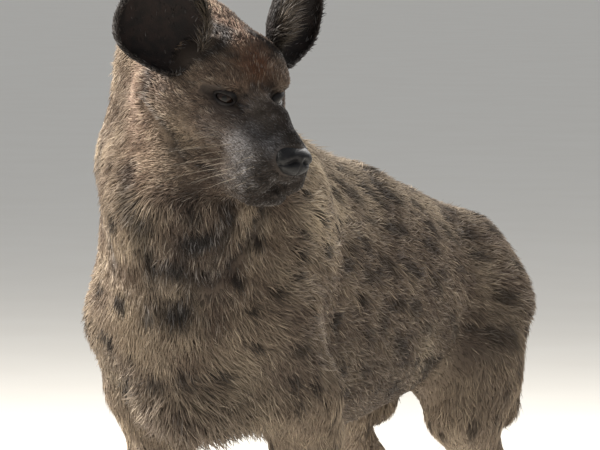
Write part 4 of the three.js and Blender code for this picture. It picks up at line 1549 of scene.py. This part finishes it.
fleshNodes = ["torso", "neck", "head", "tail"]
for side in ("left", "right"):
    fleshNodes += [part + "_" + side for part in ("foreleg", "forepaw", "thigh", "hindfoot")]
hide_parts(*fleshNodes)
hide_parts("nose")
for name, s in (("left", 1), ("right", -1)):
    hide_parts("ear_" + name)
    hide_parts("eye_" + name)
slots = {skin: "coat", lids: "nose", nose: "nose", claws: "dark_coat", whiskers: "coat"}
slots.update({item: "coat" for item in coat.values()})
slots.update({item: "ear" for item in (*ear.values(), *earCoat.values())})
slots.update({item: "eye" for item in eye.values()})
for item, name in slots.items():
    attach(item, "root")

# Floor, light and camera

view = {
    "azimuth": 25,
    "elevation": 4,
    "distance": 6.0,
    "mmPerPixel": 1.2,
    "eyesPixel": (251, 97),
    "picture": (600, 450),
    "sensor": 36,
}
studio = {
    "floorRadius": 160,
    "floorColours": (tint(226, 222, 214), tint(232, 229, 222)),
    "worldColour": tint(228, 230, 233),
    "worldStrength": 0.6,
    "target": (0, 0, 0.6),
    "lights": {
        "key": {"place": (-3.2, -1.0, 3.2), "size": 0.8, "power": 600, "colour": (1.0, 0.96, 0.9)},
        "back": {"place": (0.6, 3.2, 3.0), "size": 2.0, "power": 120, "colour": (1.0, 0.97, 0.93)},
    },
}


def makeStage():
    mesh = bmesh.new()
    bmesh.ops.create_circle(mesh, cap_ends=True, segments=96, radius=studio["floorRadius"])
    floor = newObject("floor", meshFrom(mesh, "floor", smooth=False))
    finish = Finish("floorPaint", {"Roughness": 0.9})
    colour = finish.mix(finish.noise(3.0), *studio["floorColours"])
    floor.data.materials.append(finish.feed(Base_Color=colour))
    world = bpy.data.worlds.new("studio")
    world.use_nodes = True
    background = world.node_tree.nodes["Background"]
    background.inputs["Color"].default_value = studio["worldColour"]
    background.inputs["Strength"].default_value = studio["worldStrength"]
    bpy.context.scene.world = world


def makeLight(name, place, size, power, colour):
    lamp = bpy.data.lights.new(name, "AREA")
    lamp.shape = "DISK"
    lamp.size = size
    lamp.energy = power
    lamp.color = colour
    item = newObject(name, lamp)
    item.location = place
    item.rotation_euler = (Vector(studio["target"]) - Vector(place)).to_track_quat("-Z", "Y").to_euler()


def makeCamera():
    azimuth, elevation = math.radians(view["azimuth"]), math.radians(view["elevation"])
    right = Vector((math.cos(azimuth), math.sin(azimuth), 0))
    ahead = Vector((math.sin(azimuth), -math.cos(azimuth), 0))
    back = math.cos(elevation) * ahead + math.sin(elevation) * Vector((0, 0, 1))
    rise = back.cross(right)
    pixel = view["mmPerPixel"] / 1000
    width, height = view["picture"]
    target = Vector(toFrame(headPlace["eyesMidway"]))
    place = target + back * view["distance"]
    place -= right * (view["eyesPixel"][0] - width / 2) * pixel
    place += rise * (view["eyesPixel"][1] - height / 2) * pixel
    lens = bpy.data.cameras.new("camera")
    lens.sensor_width = view["sensor"]
    lens.lens = view["sensor"] * view["distance"] / (width * pixel)
    lens.clip_end = 400
    camera = newObject("camera", lens)
    camera.matrix_world = Matrix((
        (right.x, rise.x, back.x, place.x),
        (right.y, rise.y, back.y, place.y),
        (right.z, rise.z, back.z, place.z),
        (0, 0, 0, 1),
    ))
    bpy.context.scene.camera = camera


makeStage()
for name, lamp in studio["lights"].items():
    makeLight(name, **lamp)
makeCamera()
bpy.context.scene.view_settings.view_transform = "Standard"
